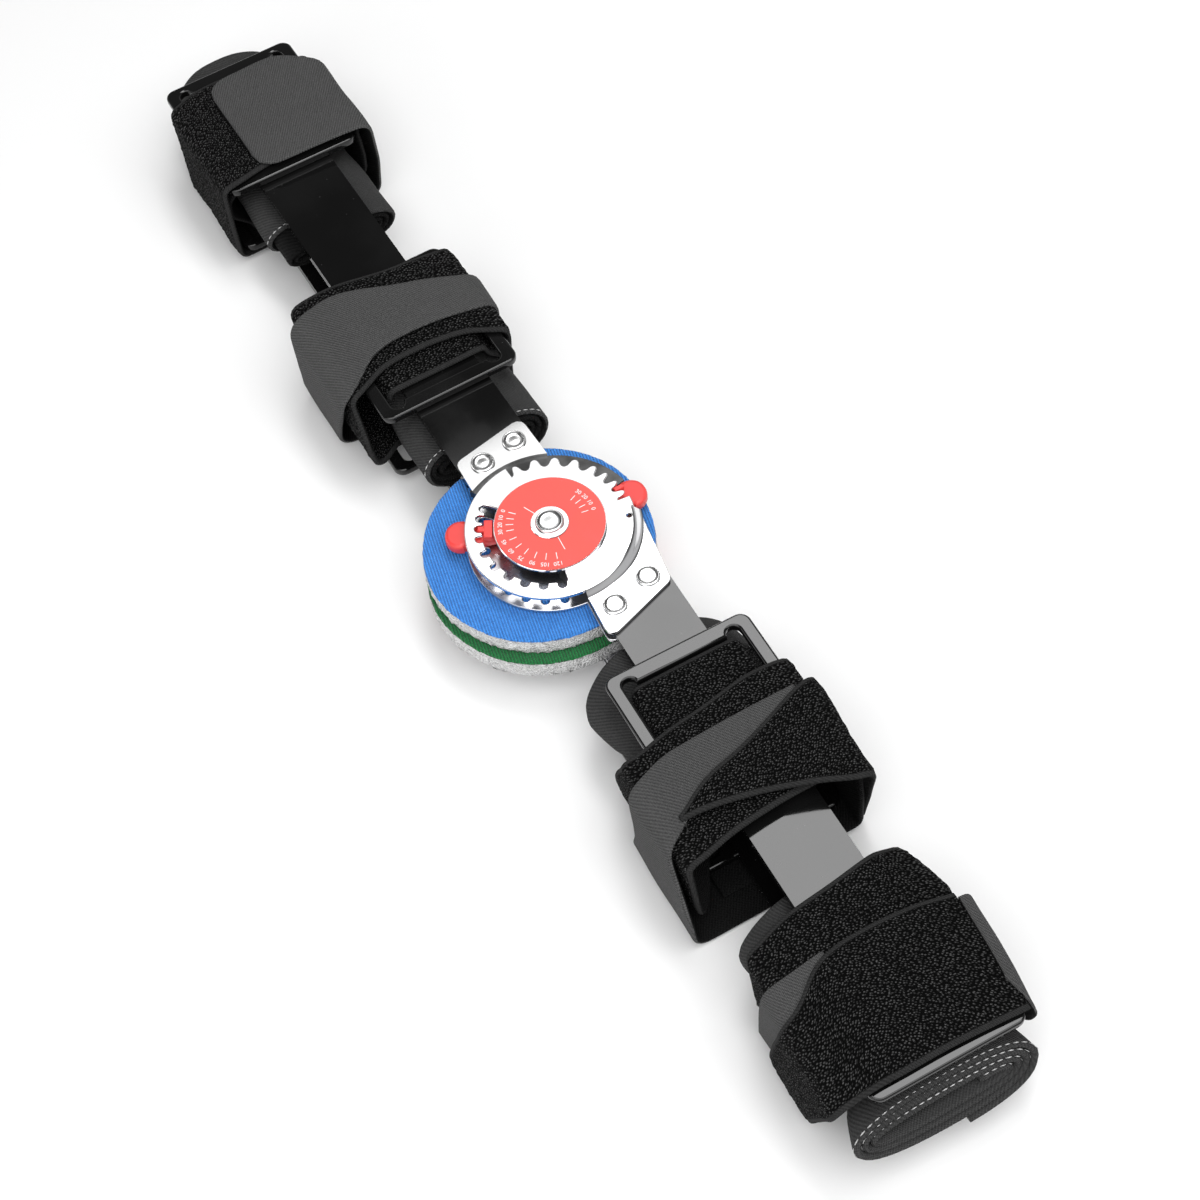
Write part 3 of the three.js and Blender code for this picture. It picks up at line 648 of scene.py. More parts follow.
def rounded_corner(a, b, c, radius, steps=6):
    """The corner at b, between a and c, as a short arc."""
    a, b, c = (np.array(p, float) for p in (a, b, c))
    before = (a - b) / np.linalg.norm(a - b)
    after = (c - b) / np.linalg.norm(c - b)
    half = math.acos(np.clip(before @ after, -1, 1)) / 2
    reach = min(radius / math.tan(half), 0.49 * np.linalg.norm(a - b), 0.49 * np.linalg.norm(c - b))
    centre = b + (before + after) / np.linalg.norm(before + after) * reach / math.cos(half)
    first = b + before * reach - centre
    last = b + after * reach - centre
    turn = math.atan2(first[0] * last[1] - first[1] * last[0], first @ last)
    spots = []
    for k in range(steps + 1):
        c, s = math.cos(turn * k / steps), math.sin(turn * k / steps)
        spots.append((centre[0] + c * first[0] - s * first[1], centre[1] + s * first[0] + c * first[1]))
    return spots


teeth = toothed_edge()
slots = window_edge()
print("plate outlines:", len(teeth), "points of teeth,", len(slots), "of window")

# %% Fill outlines
PLATE_EDGE = 0.3
PLATE_SHARP = 50


def curve_shape(curve, lift=0.0):
    """The points and faces of a filled curve, which is removed afterwards."""
    holder = bpy.data.objects.new(curve.name, curve)
    scene.collection.objects.link(holder)
    bpy.context.view_layer.update()
    mesh = bpy.data.meshes.new_from_object(holder.evaluated_get(bpy.context.evaluated_depsgraph_get()))
    points = [(v.co.x, v.co.y, v.co.z + lift) for v in mesh.vertices]
    faces = [tuple(p.vertices) for p in mesh.polygons]
    bpy.data.objects.remove(holder)
    bpy.data.curves.remove(curve)
    bpy.data.meshes.remove(mesh)
    return points, faces


def filled(outlines, low, high, edge=PLATE_EDGE):
    """A flat plate with a round edge, as points and faces, from closed outlines; later ones are holes."""
    curve = bpy.data.curves.new("outline", "CURVE")
    curve.dimensions = "2D"
    curve.fill_mode = "BOTH"
    curve.extrude = (high - low) / 2 - edge
    curve.bevel_depth = edge
    curve.bevel_resolution = 2
    curve.offset = -edge
    for outline in outlines:
        spline = curve.splines.new("POLY")
        spline.points.add(len(outline) - 1)
        for point, (x, y) in zip(spline.points, outline):
            point.co = (x, y, 0, 1)
        spline.use_cyclic_u = True
    return curve_shape(curve, (low + high) / 2)


print("plates are filled with a round edge of", PLATE_EDGE, "mm")

# %% Press the plate
DISC_LEVEL = (16.6, 18.1)
NECK_LEVEL = (13.7, 15.2)
SHEET = DISC_LEVEL[1] - DISC_LEVEL[0]
STEP_RADII = (28.4, 31.6)
STEP_UNDERCUT = 0.35
STEP_OVERLAP = 0.1
STEP_GAP = 0.5
NECK_ROOT = STEP_RADII[1] - 0.6
RELIEF_HOLE = 0.9
RELIEF_AT = (27.0, 68)


def pressed_step(steps=48, rows=10):
    """The S-shaped step between disc and neck, as a closed strip with the sheet's thickness."""
    points = []
    for i in range(steps + 1):
        angle = NECK["from"] + (NECK["to"] - NECK["from"]) * i / steps
        ring = []
        for k in range(rows + 1):
            t = k / rows
            drop = t * t * (3 - 2 * t)
            radius = STEP_RADII[0] + (STEP_RADII[1] - STEP_RADII[0]) * t
            ring.append((radius, DISC_LEVEL[1] + (NECK_LEVEL[1] - DISC_LEVEL[1]) * drop))
        under = [(radius - STEP_UNDERCUT, top - SHEET) for radius, top in reversed(ring)]
        points += [polar(radius, angle, h) for radius, h in ring + under]
    count = 2 * (rows + 1)
    faces = tube_faces(steps + 1, count)
    faces.append(tuple(reversed(range(count))))
    faces.append(tuple(range(steps * count, (steps + 1) * count)))
    return points, [tuple(reversed(face)) for face in faces]


def neck_corners(radius):
    """The two round corners of the neck, for sides that start on a circle of this radius."""
    left, right = NECK["left"], NECK["right"]
    return [*rounded_corner(on_circle(radius, NECK["from"]), left, right, NECK["corner"]),
            *rounded_corner(left, right, on_circle(radius, NECK["to"]), NECK["corner"])]


def add_plates(name, shape, material, node):
    for upright, side in UPRIGHTS.items():
        hard_piece(f"{upright}_{name}", shape, side, [material], PLATE_SHARP, "calf", "chrome",
                   f"{upright}_{node}")


neck_outline = [on_circle(NECK_ROOT, NECK["from"]), *neck_corners(NECK_ROOT),
                *arc(NECK_ROOT, NECK["to"], NECK["from"], 30)]
disc_outline = teeth + arc(DISC_RADIUS, TEETH["to"], 360 + NECK["from"] - STEP_GAP, 70)
disc_outline += arc(STEP_RADII[0] + STEP_OVERLAP, 360 + NECK["from"], 360 + NECK["to"], 36)
disc_outline += arc(DISC_RADIUS, 360 + NECK["to"] + STEP_GAP, 360 + TEETH["from"], 6)
rivet_holes = [arc(RIVET_HOLE, 0, 350, 35, spot) for spot in CALF_RIVETS]
relief_hole = arc(RELIEF_HOLE, 0, 340, 17, on_circle(*RELIEF_AT))
pivot_hole = arc(PIVOT_HOLE, 0, 350, 35)
stamping = gathered(
    filled([disc_outline, slots, pivot_hole, relief_hole], *DISC_LEVEL),
    filled([neck_outline, *rivet_holes], *NECK_LEVEL),
    pressed_step(),
)
add_plates("toothed_plate", stamping, steel, "calf_top_plate")
print("toothed plates of", len(stamping[1]), "faces each")

# %% [markdown]
# ## Base plates and stops
# Under the disc lies a second plate with a slot for each setting. Only the slots' tips and the rim show,
# so a satin finish and clean round-ended slots are enough. The red stops are moulded: a flat tongue
# between the plates, a rounded tab to press and, on the flexion stop, a finger block in the window.

# %% Base plates
BASE_LEVEL = (8.8, 10.3)
SLOT = {"from": 21.4, "to": 26.7, "half": 1.35}


def slot_outline(angle):
    """A round-ended slot along one radius."""
    ends = []
    for radius, start in ((SLOT["to"] - SLOT["half"], -90), (SLOT["from"] + SLOT["half"], 90)):
        ends += arc(SLOT["half"], angle + start, angle + start + 180, 8, on_circle(radius, angle))
    return ends


base_outline = arc(DISC_RADIUS, NECK["to"], 360 + NECK["from"], 90) + neck_corners(DISC_RADIUS)
base_slots = [slot_outline(FLEXION_SETTINGS["zero"] + v) for v in FLEXION_SETTINGS["degrees"]]
base = filled([base_outline, pivot_hole, *rivet_holes, *base_slots], *BASE_LEVEL)
add_plates("slotted_plate", base, satin_steel, "calf_base_plate")
print("base plates with", len(base_slots), "slots")

# %% Stops
STOP = {
    "shoulder": 29.6, "end": 36.3, "tab_half": 5.7, "root_half": 2.2, "body_half": 5.1,
    "round": 5.4, "edge": 1.2}
STOP_LEVEL = (11.2, 15.6)
FINGER_LEVEL = (15.4, 18.1)
STOPS = {
    "flexion": {"angle": 242, "root": 17.5, "blocks": ((19.7, 22.7, 3.5, 0), (22.5, 24.8, 1.05, 0))},
    "extension": {"angle": 89, "root": 20.0, "blocks": ((25.9, 29.2, 0.8, 5),)},
}


def turned(point, degrees):
    angle = math.radians(degrees)
    x, y = point
    return (x * math.cos(angle) - y * math.sin(angle), x * math.sin(angle) + y * math.cos(angle))


def stop_outline(root):
    """The tongue and tab of a stop, drawn along the x axis."""
    half = []
    for sign in (-1, 1):
        shoulder = (STOP["shoulder"], sign * STOP["body_half"])
        tab = (STOP["shoulder"], sign * STOP["tab_half"])
        end = (STOP["end"], sign * STOP["tab_half"])
        other = (STOP["end"], -sign * STOP["tab_half"])
        corner = rounded_corner((root, tab[1]), end, other, STOP["round"], 10)
        half.append([(root, sign * STOP["root_half"]), shoulder, tab, *corner])
    return half[0] + half[1][::-1]


for upright, side in UPRIGHTS.items():
    for name, stop in STOPS.items():
        solids = [filled([stop_outline(stop["root"])], *STOP_LEVEL, STOP["edge"])]
        for low, high, half, turn in stop["blocks"]:
            square = [turned(c, turn) for c in ((low, -half), (high, -half), (high, half), (low, half))]
            solids.append(filled([square], *FINGER_LEVEL))
        points, faces = gathered(*solids)
        shape = ([(*turned((x, y), stop["angle"]), h) for x, y, h in points], faces)
        part = f"{upright}_{name}"
        hard_piece(f"{part}_tab", shape, side, [stop_red], PLATE_SHARP, f"{part}_slide", "stop_red",
                   f"{part}_stop")
print("stops moulded")

# %% [markdown]
# ## Strap frames
# Each strap runs through a flat enamelled ring that is welded across the bar, one on each upright. Its
# slot has round lobes at the corners. The outline is filled as the hinge plates are, with a generous
# round edge, which draws the thin bright and dark lines round the frame.

# %% Strap frames
FRAME = {
    "length": 63.0, "width": 54.0, "corner": 4.0, "slot_x": 25.5, "slot_y": 19.4, "lobe": 2.6,
    "edge": 0.8}
FRAME_AT = {"thigh_far": -230.5, "thigh_near": -101.8, "calf_near": 93.8, "calf_far": 196.8}


def frame_outlines():
    x, y = FRAME["length"] / 2, FRAME["width"] / 2
    box = [(x, -y), (x, y), (-x, y), (-x, -y)]
    outer = []
    for i, corner in enumerate(box):
        outer += rounded_corner(box[i - 1], corner, box[(i + 1) % 4], FRAME["corner"], 10)
    slot = []
    for sx, sy, start in ((1, 1, -90), (-1, 1, 90), (-1, -1, 90), (1, -1, -90)):
        slot += arc(FRAME["lobe"], start, start + 180, 12, (sx * FRAME["slot_x"], sy * FRAME["slot_y"]))
    return [outer, slot]


ring_outlines = frame_outlines()
for group, x in FRAME_AT.items():
    bar = group.split("_")[0]
    middle, turn = BARS[bar]["middle"], BARS[bar]["turn"]
    low, high = (corner[2] / MM - PIVOT[2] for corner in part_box(f"top_{group}_frame"))
    points, faces = filled(ring_outlines, low, high, FRAME["edge"])
    shape = ([(px + x, py + middle, h) for px, py, h in points], faces)
    for upright, side in UPRIGHTS.items():
        hard_piece(f"{upright}_{group}_ring", shape, side, [gloss_black], PLATE_SHARP, bar, "gloss_black",
                   f"{upright}_{group}_frame", turn=turn)
print("strap frames", list(FRAME_AT))

# %% [markdown]
# ## Rivets
# The pivot is a tubular rivet: a rolled ring round a flat-bottomed dish, on a flat washer. The neck
# rivets are the same kind, flatter. The wall of the dish gets a painted reflection, a darker steel
# colour standing in for the real wall mirroring the dish and not the light boxes, which shows as a
# dark circle inside the bright ring.

# %% Turn the rivets
RIVET_SIDES = 48
ROUND_SHARP = 40


def rivet_profile(head, seat, crown, depth, tail, shank):
    """A rolled ring with a flat-bottomed dish in it, as (radius, height)."""
    floor = crown - depth
    dish = [(0.77 * head, crown - 0.45 * depth), (0.71 * head, floor + 0.08), (0.64 * head, floor),
            (0.40 * head, floor + 0.04), (0.18 * head, floor + 0.12), (0.02 * head, floor + 0.15)]
    rise = crown - seat
    return [
        (shank, tail), (shank, seat), (head, seat), (head + 0.04, seat + 0.3 * rise),
        (0.985 * head, seat + 0.62 * rise), (0.94 * head, seat + 0.88 * rise), (0.87 * head, crown),
        (0.83 * head, crown - 0.03), *dish,
    ]


RIVET_WALL = (7, 8)
NECK_RIVET = rivet_profile(head=4.2, seat=15.25, crown=16.3, depth=0.66, tail=11.0, shank=2.1)
PIVOT_RIVET = rivet_profile(head=4.9, seat=20.2, crown=21.4, depth=0.8, tail=8.9, shank=3.5)
WASHER = [(3.8, 19.85), (6.5, 19.85), (6.6, 20.0), (6.4, 20.2), (3.8, 20.2)]


def add_round(name, profile, spot, side, body, material, *replaced):
    """A turned steel piece, with a painted dark reflection on the wall of a rivet's dish."""
    # Faces on the dish wall get the painted dark reflection.
    kinds = [int(k in RIVET_WALL) for k in range(len(profile) - 1)] * RIVET_SIDES + [0, 0]
    hard_piece(name, lathe(profile, RIVET_SIDES, spot), side, [material, wall_reflection_paint], ROUND_SHARP, body,
               "chrome", *replaced, kinds=kinds)


for upright, side in UPRIGHTS.items():
    pivot = f"{upright}_pivot"
    add_round(f"{pivot}_ring", PIVOT_RIVET, (0, 0), side, "calf", rivet_steel, f"{pivot}_rivet")
    add_round(f"{pivot}_washer", WASHER, (0, 0), side, "calf", steel)
    for number in (1, 2):
        for bar, spots in (("thigh", THIGH_RIVETS), ("calf", CALF_RIVETS)):
            spot = turned(spots[number - 1], BARS[bar]["turn"])
            name = f"{upright}_{bar}_rivet_{number}"
            add_round(f"{name}_dish", NECK_RIVET, spot, side, bar, rivet_steel, name)
print("rivets turned")

# %% [markdown]
# ## The dial and its scale
# The dial is a steel disc with a printed red plastic face. The scale is plain numbers and ticks: flexion
# settings round the lower left, the first extension settings at the upper right, and a pointer line to
# each. Numbers come from Blender's own font as filled outlines, a few hundredths of a millimetre thick,
# so the print is geometry.

# %% Dial discs
DIAL_DISC = [(3.9, 18.35), (19.1, 18.35), (19.3, 18.5), (19.3, 19.2), (19.1, 19.42), (3.9, 19.42)]
DIAL_FACE = [(3.9, 19.44), (18.9, 19.44), (19.0, 19.55), (18.85, 19.72), (3.9, 19.72)]
DIAL_SIDES = 128
DIAL_PARTS = {"disc": (DIAL_DISC, steel, "chrome"), "face": (DIAL_FACE, dial_red, "dial_red")}
for upright, side in UPRIGHTS.items():
    for name, (profile, material, slot) in DIAL_PARTS.items():
        hard_piece(f"{upright}_dial_{name}", lathe(profile, DIAL_SIDES), side, [material], ROUND_SHARP,
                   "calf", slot, f"{upright}_dial")
print("dial discs", DIAL_SIDES, "sides")

# %% Numbers and ticks
PRINT_TOP = 19.77
PRINT_LOW = 19.70


def number_shape(text, size):
    """A number as flat points and faces, centred on the origin."""
    font = bpy.data.curves.new("number", "FONT")
    font.body = text
    font.size = size
    font.align_x = "CENTER"
    font.align_y = "CENTER"
    font.resolution_u = 3
    points, faces = curve_shape(font)
    return [point[:2] for point in points], faces


def on_dial(points, faces, radius, angle, side):
    """Stands a flat shape on the dial with its top outwards and gives it a little thickness."""
    out = np.array(on_circle(1, angle))
    across = np.array((out[1], -out[0])) * side
    flat = [out * (radius + y) + across * x for x, y in points]
    count = len(flat)
    solid = [(x, y, PRINT_TOP) for x, y in flat] + [(x, y, PRINT_LOW) for x, y in flat]
    edges = {}
    for face in faces:
        for a, b in zip(face, face[1:] + face[:1]):
            edges[(a, b)] = True
    rim = [(a, b) for a, b in edges if (b, a) not in edges]
    shell = [tuple(face) for face in faces] + [tuple(count + i for i in reversed(face)) for face in faces]
    shell += [(b, a, a + count, b + count) for a, b in rim]
    return solid, shell


def bar_shape(width, length):
    return [(-width / 2, 0), (width / 2, 0), (width / 2, length), (-width / 2, length)], [(0, 1, 2, 3)]


NUMBER_SIZE = 2.2
TICK_WIDTH = 0.26
FIRST_FLEXION = FLEXION_SETTINGS["zero"]
FIRST_EXTENSION, EXTENSION_STEP = 80.5, 11
SCALES = (
    {"number": 16.9, "tick": 12.4, "length": 2.6,
     "marks": [(v, FIRST_FLEXION + v) for v in FLEXION_SETTINGS["degrees"]]},
    {"number": 15.6, "tick": 11.4, "length": 2.4,
     "marks": [(v, FIRST_EXTENSION + EXTENSION_STEP * i)
               for i, v in enumerate(EXTENSION_SETTINGS["degrees"][:4])]},
)
POINTERS = {"from": 6.6, "angle and length": ((204, 4.6), (357, 5.6))}
for upright, side in UPRIGHTS.items():
    marks = []
    for scale in SCALES:
        for setting, angle in scale["marks"]:
            marks.append(on_dial(*number_shape(str(setting), NUMBER_SIZE), scale["number"], angle, side))
            marks.append(on_dial(*bar_shape(TICK_WIDTH, scale["length"]), scale["tick"], angle, side))
    for angle, length in POINTERS["angle and length"]:
        marks.append(on_dial(*bar_shape(TICK_WIDTH, length), POINTERS["from"], angle, side))
    points, faces = gathered(*marks)
    points = [(x, y, h * side) for x, y, h in points]
    printed = new_piece(f"{upright}_dial_scale", points, faces, [print_white], smooth=False)
    settle(printed, "calf", "dial_red")
print("dial scale of", len(marks), "marks")

# %% [markdown]
# ## Knee pads
# Two round pads lie between the hinges, each a ribbed knit bonded to foam. They are built as polar
# grids: rings of points from the middle out, over the rounded rim and back underneath. The knit is
# slightly crowned and its cut rim is pinched. The foam's cut wall gets a rough, crumbly displacement,
# because its fuzzy edge shows in the outline.

# %% Build the pads
PAD_RADIUS = 40.0
PADS = {
    "blue_pad": {"at": (-2.2, -4.2), "face": (7.3, 8.5), "foam": (0.5, 7.35), "knit": blue_knit},
    "green_pad": {"at": (1.3, -5.5), "face": (-0.9, 0.3), "foam": (-8.5, -0.85), "knit": green_knit},
}
PAD_LAYERS = {
    "face": {"rim": 0.018, "rough": 0.10, "fill": 0.9},
    "foam": {"rim": 0.02, "rough": 0.28, "fill": 0.95},
}
PAD_SPOKES = 220
PAD_SEED = 11
RIB_TURN = math.radians(-79)


def pad_layer(at, low, high, rim, rough, rng):
    """A round layer: profile rings from the top middle over the rim to the bottom middle."""
    top = [(r, 1.0) for r in np.linspace(0.02, 0.97, 34) if r < 1 - rim]
    wall = [(1.0 - rim * (1 - math.sin(a)), math.cos(a)) for a in np.linspace(0, math.pi, 9)]
    profile = top + wall + [(r, -1.0) for r, _ in reversed(top)]
    c, s = math.cos(RIB_TURN), math.sin(RIB_TURN)
    points = []
    weave = []
    for i in range(PAD_SPOKES):
        angle = math.tau * i / PAD_SPOKES
        wobble = 1 + 0.004 * math.sin(3 * angle + 0.7) + 0.003 * math.sin(7 * angle)
        for share, rise in profile:
            jitter = rough * rng.normal() if share > 0.97 else 0.0
            lumps = 0.3 * rough * rng.normal() if share > 0.9 else 0.0
            radius = PAD_RADIUS * share * wobble + jitter
            x = radius * math.cos(angle)
            y = radius * math.sin(angle)
            h = (low + high) / 2 + rise * (high - low) / 2 + lumps
            points.append((x + at[0], y + at[1], h))
            weave.append((c * x - s * y, s * x + c * y, h))
    faces = [(face[0], *reversed(face[1:])) for face in ring_faces(PAD_SPOKES, len(profile))]
    return points, faces, weave


rng = np.random.default_rng(PAD_SEED)
for name, pad in PADS.items():
    finishes = {"face": (pad["knit"], name.replace("pad", "knit")), "foam": (foam, "foam")}
    for layer, (material, slot) in finishes.items():
        make = PAD_LAYERS[layer]
        points, faces, weave = pad_layer(pad["at"], *pad[layer], make["rim"], make["rough"], rng)
        made = new_piece(f"{name}_{layer}_soft", points, faces, [material], weave=weave)
        settle(made, "calf", slot, f"{name}_{layer}")
print("pads", list(PADS))

# %% [markdown]
# ## Cloth bands
# A strap is webbing of fixed width that follows a route round the bars. The route is drawn as the
# maker would see it looking along the bar: points across and up, with a corner radius. Each row also
# says where the band's far and near edges run along the bar, so a turn can slant, narrow or fold.
# The band is built as rings of points, outer face then inner face, with rounded edges. A remesh or a
# cloth simulation would lose the crisp webbing edges, so the mesh is made directly.

# %% Routes of the bands
EDGE_ROUND = 0.9
SELVEDGE = 1.9
LEAN_SIDE = (12, 14)
DROOP_ABOVE = (8, 10)
DROOP_POWER = 1.5
SWELL_POWER = 0.7
SWELL_RIM = 8
FLOOR_LEVEL = 0.05 - PIVOT[2]
BANDS = {}


def eased(value, start, over):
    """Rises from 0 at start to 1 after the given length."""
    return np.clip((value - start) / over, 0, 1)


def swollen(swell, x, far):
    """How much wider a roll is at x, beyond the strap that holds it; its far rim is drawn in."""
    outside = np.maximum(swell["from"] - x, x - swell["to"])
    rim = np.sqrt(eased(x, far, SWELL_RIM))
    return 1 + swell["by"] * eased(outside, 0, swell["over"]) ** SWELL_POWER * rim


def smooth_route(rows):
    """Rows of (y, h, corner radius, far, near) as closely spaced (y, h, far, near)."""
    out = []
    for i, (y, h, radius, far, near) in enumerate(rows):
        if radius <= 0 or i in (0, len(rows) - 1):
            out.append((y, h, far, near))
            continue
        for py, ph in rounded_corner(rows[i - 1][:2], (y, h), rows[i + 1][:2], radius, 8):
            out.append((py, ph, far, near))
    return np.array(out, float)


def softened(values, reach):
    """A running mean, with its ends held."""
    if reach < 1:
        return values
    padded = np.concatenate([np.full(reach, values[0]), values, np.full(reach, values[-1])])
    kernel = np.ones(2 * reach + 1) / (2 * reach + 1)
    return np.convolve(padded, kernel, "valid")


def stations_of(rows, step, soften, tongue):
    """Even stations along a band: place, outward direction and edges."""
    route = smooth_route(rows)
    hops = np.hypot(np.diff(route[:, 0]), np.diff(route[:, 1]))
    keep = np.concatenate([[True], hops > 1e-6])
    route = route[keep]
    run = np.concatenate([[0], np.cumsum(hops[hops > 1e-6])])
    count = max(int(run[-1] / step), 4)
    s = np.linspace(0, run[-1], count + 1)
    y, h, far, near = (np.interp(s, run, route[:, k]) for k in range(4))
    reach = int(soften / step)
    far = softened(softened(far, reach), reach)
    near = softened(softened(near, reach), reach)
    y, h = softened(y, 1), softened(h, 1)
    ty, th = np.gradient(y), np.gradient(h)
    size = np.hypot(ty, th)
    if tongue:
        left = np.clip(tongue - (s[-1] - s), 0, tongue)
        pinch = tongue - np.sqrt(np.maximum(tongue ** 2 - left ** 2, 0))
        far = far + 0.98 * pinch
        near = near - 0.98 * pinch
    return {"s": s, "y": y, "h": h, "ny": -th / size, "nh": ty / size, "far": far, "near": near}


print("routes ready, floor at", round(FLOOR_LEVEL, 2))

# %% Band builder


def band(name, rows, bar, thickness, outer, inner, hand=1, *, step, across, soften, seed, nap=0.0,
         wave=0.15, tongue=0.0, swell=None, lean=None, droop=None, core=0.0, straight=False,
         turned_out=None):
    """A closed band of cloth along a route across one bar; hand -1 mirrors the route.

    The outer finish starts at the share core of the length. Low down beyond turned_out, where a
    band shows its other side, it is on both faces.
    """
    rng = np.random.default_rng(seed)
    line = stations_of(rows, step, soften, tongue)
    line["y"] = line["y"] * hand
    line["ny"] = line["ny"] * hand
    width = float(np.mean(line["near"] - line["far"]))
    line.update(bar=bar, thickness=thickness, swell=swell, flat=(width, float(line["s"][-1])))
    inside = np.linspace(0.03, 0.97, max(int(width / across), 6))
    shares = np.concatenate([[0.0, 0.010], inside, [0.990, 1.0]])
    count = len(shares)
    points = []
    weave = []
    for i, s in enumerate(line["s"]):
        y, h, far, near = (line[key][i] for key in ("y", "h", "far", "near"))
        x = far + (near - far) * shares
        edge = np.minimum(x - far, near - x)
        full = np.sqrt(np.clip(1 - (1 - eased(edge, 0, EDGE_ROUND)) ** 2, 0.06, 1))
        ripple = wave * (np.sin(0.21 * x + 0.05 * s + seed) + np.sin(0.13 * x - 0.11 * s + 2 * seed))
        slide = drop = np.zeros(count)
        if lean:
            slide = lean["rate"] * (np.minimum(x, lean["to"]) - lean["at"]) * eased(y, *LEAN_SIDE)
        if droop:
            drop = droop["by"] * eased(x, droop["from"], droop["over"]) ** DROOP_POWER
            drop = drop * eased(h, *DROOP_ABOVE)
        widen = swollen(swell, x, far) if swell else np.ones(count)
        loops = nap * rng.random(count) * (edge > SELVEDGE)
        place = x - (line["far"][0] if straight else far)
        half = full * thickness / 2
        for offset, order in ((ripple + half + loops, 1), (ripple - half, -1)):
            sideways = BARS[bar]["middle"] + (y + line["ny"][i] * offset) * widen + slide
            upwards = np.maximum(h + line["nh"][i] * offset - drop, FLOOR_LEVEL)
            points += list(zip(x, sideways, upwards))[::order]
            weave += list(zip(place, np.full(count, s), edge))[::order]
    ring = 2 * count
    last = len(line["s"]) - 1
    faces = tube_faces(last + 1, ring)
    kinds = []
    for i in range(last):
        both = turned_out is not None and line["y"][i] < turned_out and line["h"][i] < 0
        kinds += [0 if both or (k < count and i >= core * last) else 1 for k in range(ring)]
    for start in (0, last * ring):
        for k in range(count - 1):
            face = (start + k, start + ring - 1 - k, start + ring - 2 - k, start + k + 1)
            faces.append(face if start == 0 else tuple(reversed(face)))
            kinds.append(1)
    if hand < 0:
        faces = [tuple(reversed(face)) for face in faces]
    BANDS[name] = line
    return new_piece(name, points, faces, [outer, inner], BARS[bar]["turn"], kinds, weave)


def declare_band(made, slot, rests_on, *replaced):
    line = BANDS[made.name]
    settle(made, line["bar"], slot, *replaced)


print("band builder ready")

# %% [markdown]
# ## Straps
# Each strap starts on top of the bar inside the frame, goes once round both bars and then round both
# frames. The inner turn runs straight through the slots. The outer turn slants: its edges on top and
# down the sides follow the lines in the photograph, given as (across, far edge, near edge). The near
# thigh strap shows its pile where it turns over beside the frame, and the far calf strap leans in at
# its far edge.

# %% Wind the four straps
INNER_TURN = 14.95
OUTER_TURN = 18.4
WEBBING = 1.9
STRAPS = {
    "thigh_far": {
        "bar": "thigh", "hand": -1, "inner": (-254.5, -207.0), "tab": 33.5, "turn": 29.3, "bend": 4,
        "left": (-238.0, -203.0), "right": (-246.0, -199.5), "last": (-250.0, -199.5),
        "top": [(-24, -249.0, -205.0), (0, -254.5, -204.5), (13, -255.0, -202.4), (22, -254.0, -200.8)]},
    "thigh_near": {
        "bar": "thigh", "hand": 1, "inner": (-125.0, -82.0), "tab": 37.5, "turn": 29.2, "bend": 15,
        "turned_out": -20.0,
        "left": (-122.0, -73.0), "right": (-129.0, -85.0), "last": (-129.0, -81.0),
        "top": [(-29, -135.0, -84.0), (-18, -136.0, -91.2), (-8, -134.5, -92.0), (3, -132.0, -91.8),
                (13, -131.5, -90.1), (21, -130.5, -87.6)]},
    "calf_near": {
        "bar": "calf", "hand": 1, "inner": (68.8, 117.0), "tab": 40, "turn": 28.8, "bend": 9,
        "left": (86.0, 141.0), "right": (88.0, 134.0), "last": (86.0, 132.0),
        "top": [(-31, 93.5, 136.5), (-22, 90.3, 133.4), (-14, 89.1, 132.0), (-2, 87.6, 130.8),
                (10, 84.9, 130.4), (22, 84.5, 130.8)]},
    "calf_far": {
        "bar": "calf", "hand": 1, "inner": (174.0, 220.0), "tab": 39.5, "turn": 28.8, "bend": 10,
        "lean": {"rate": 0.3, "at": 180, "to": 180},
        "left": (174.0, 216.0), "right": (164.0, 209.0), "last": (161.5, 208.0),
        "top": [(-31, 169.0, 214.0), (-25, 165.3, 212.0), (-15, 163.3, 211.0), (-2, 162.0, 210.0),
                (10, 160.2, 209.0), (18, 159.2, 208.0)]},
}


def strap_rows(strap):
    """Rows of one strap's two turns, from its sewn end on the bar to its end under the brace."""
    edge, start, dip = 19.4, 10.9, 11.2
    turn = strap["turn"]
    bulge = turn - 2.6
    side = strap["tab"] - 4
    tight = min(5, turn - 26.8)
    left, right = strap["left"], strap["right"]
    wound = [
        (-edge, start, 0), (-edge, INNER_TURN, 2.2), (edge, INNER_TURN, 2.2), (edge, dip, 2.4),
        (bulge, 4, 4), (bulge, -4, 4), (edge, -dip, 2.4), (edge, -INNER_TURN, 2.2),
        (-edge, -INNER_TURN, 2.2), (-edge, -dip, 2.4),
    ]
    rows = [(y, h, radius, *strap["inner"]) for y, h, radius in wound]
    rows += [(-side + 1, -9.5, 6, *left), (-side, 2, 20, *left),
             (-side + 0.3, OUTER_TURN, strap["bend"], *strap["top"][0][1:])]
    rows += [(y, OUTER_TURN, 0, far, near) for y, far, near in strap["top"]]
    rows += [(turn - 0.3, OUTER_TURN, tight, *strap["last"]), (turn, 0, 20, *right),
             (turn - 0.3, -OUTER_TURN, tight, *right), (-24, -OUTER_TURN, 0, *right)]
    return rows


for order, (group, strap) in enumerate(STRAPS.items()):
    made = band(f"{group}_strap_pile", strap_rows(strap), strap["bar"], WEBBING, loop_pile, back_tape_painted_shade,
                strap["hand"], step=1.2, across=1.2, nap=0.55, soften=5.0, seed=21 + order,
                turned_out=strap.get("turned_out"), lean=strap.get("lean"))
    frames = [f"top_{group}_ring", f"under_{group}_ring"]
    declare_band(made, "pile", frames, f"{group}_strap")

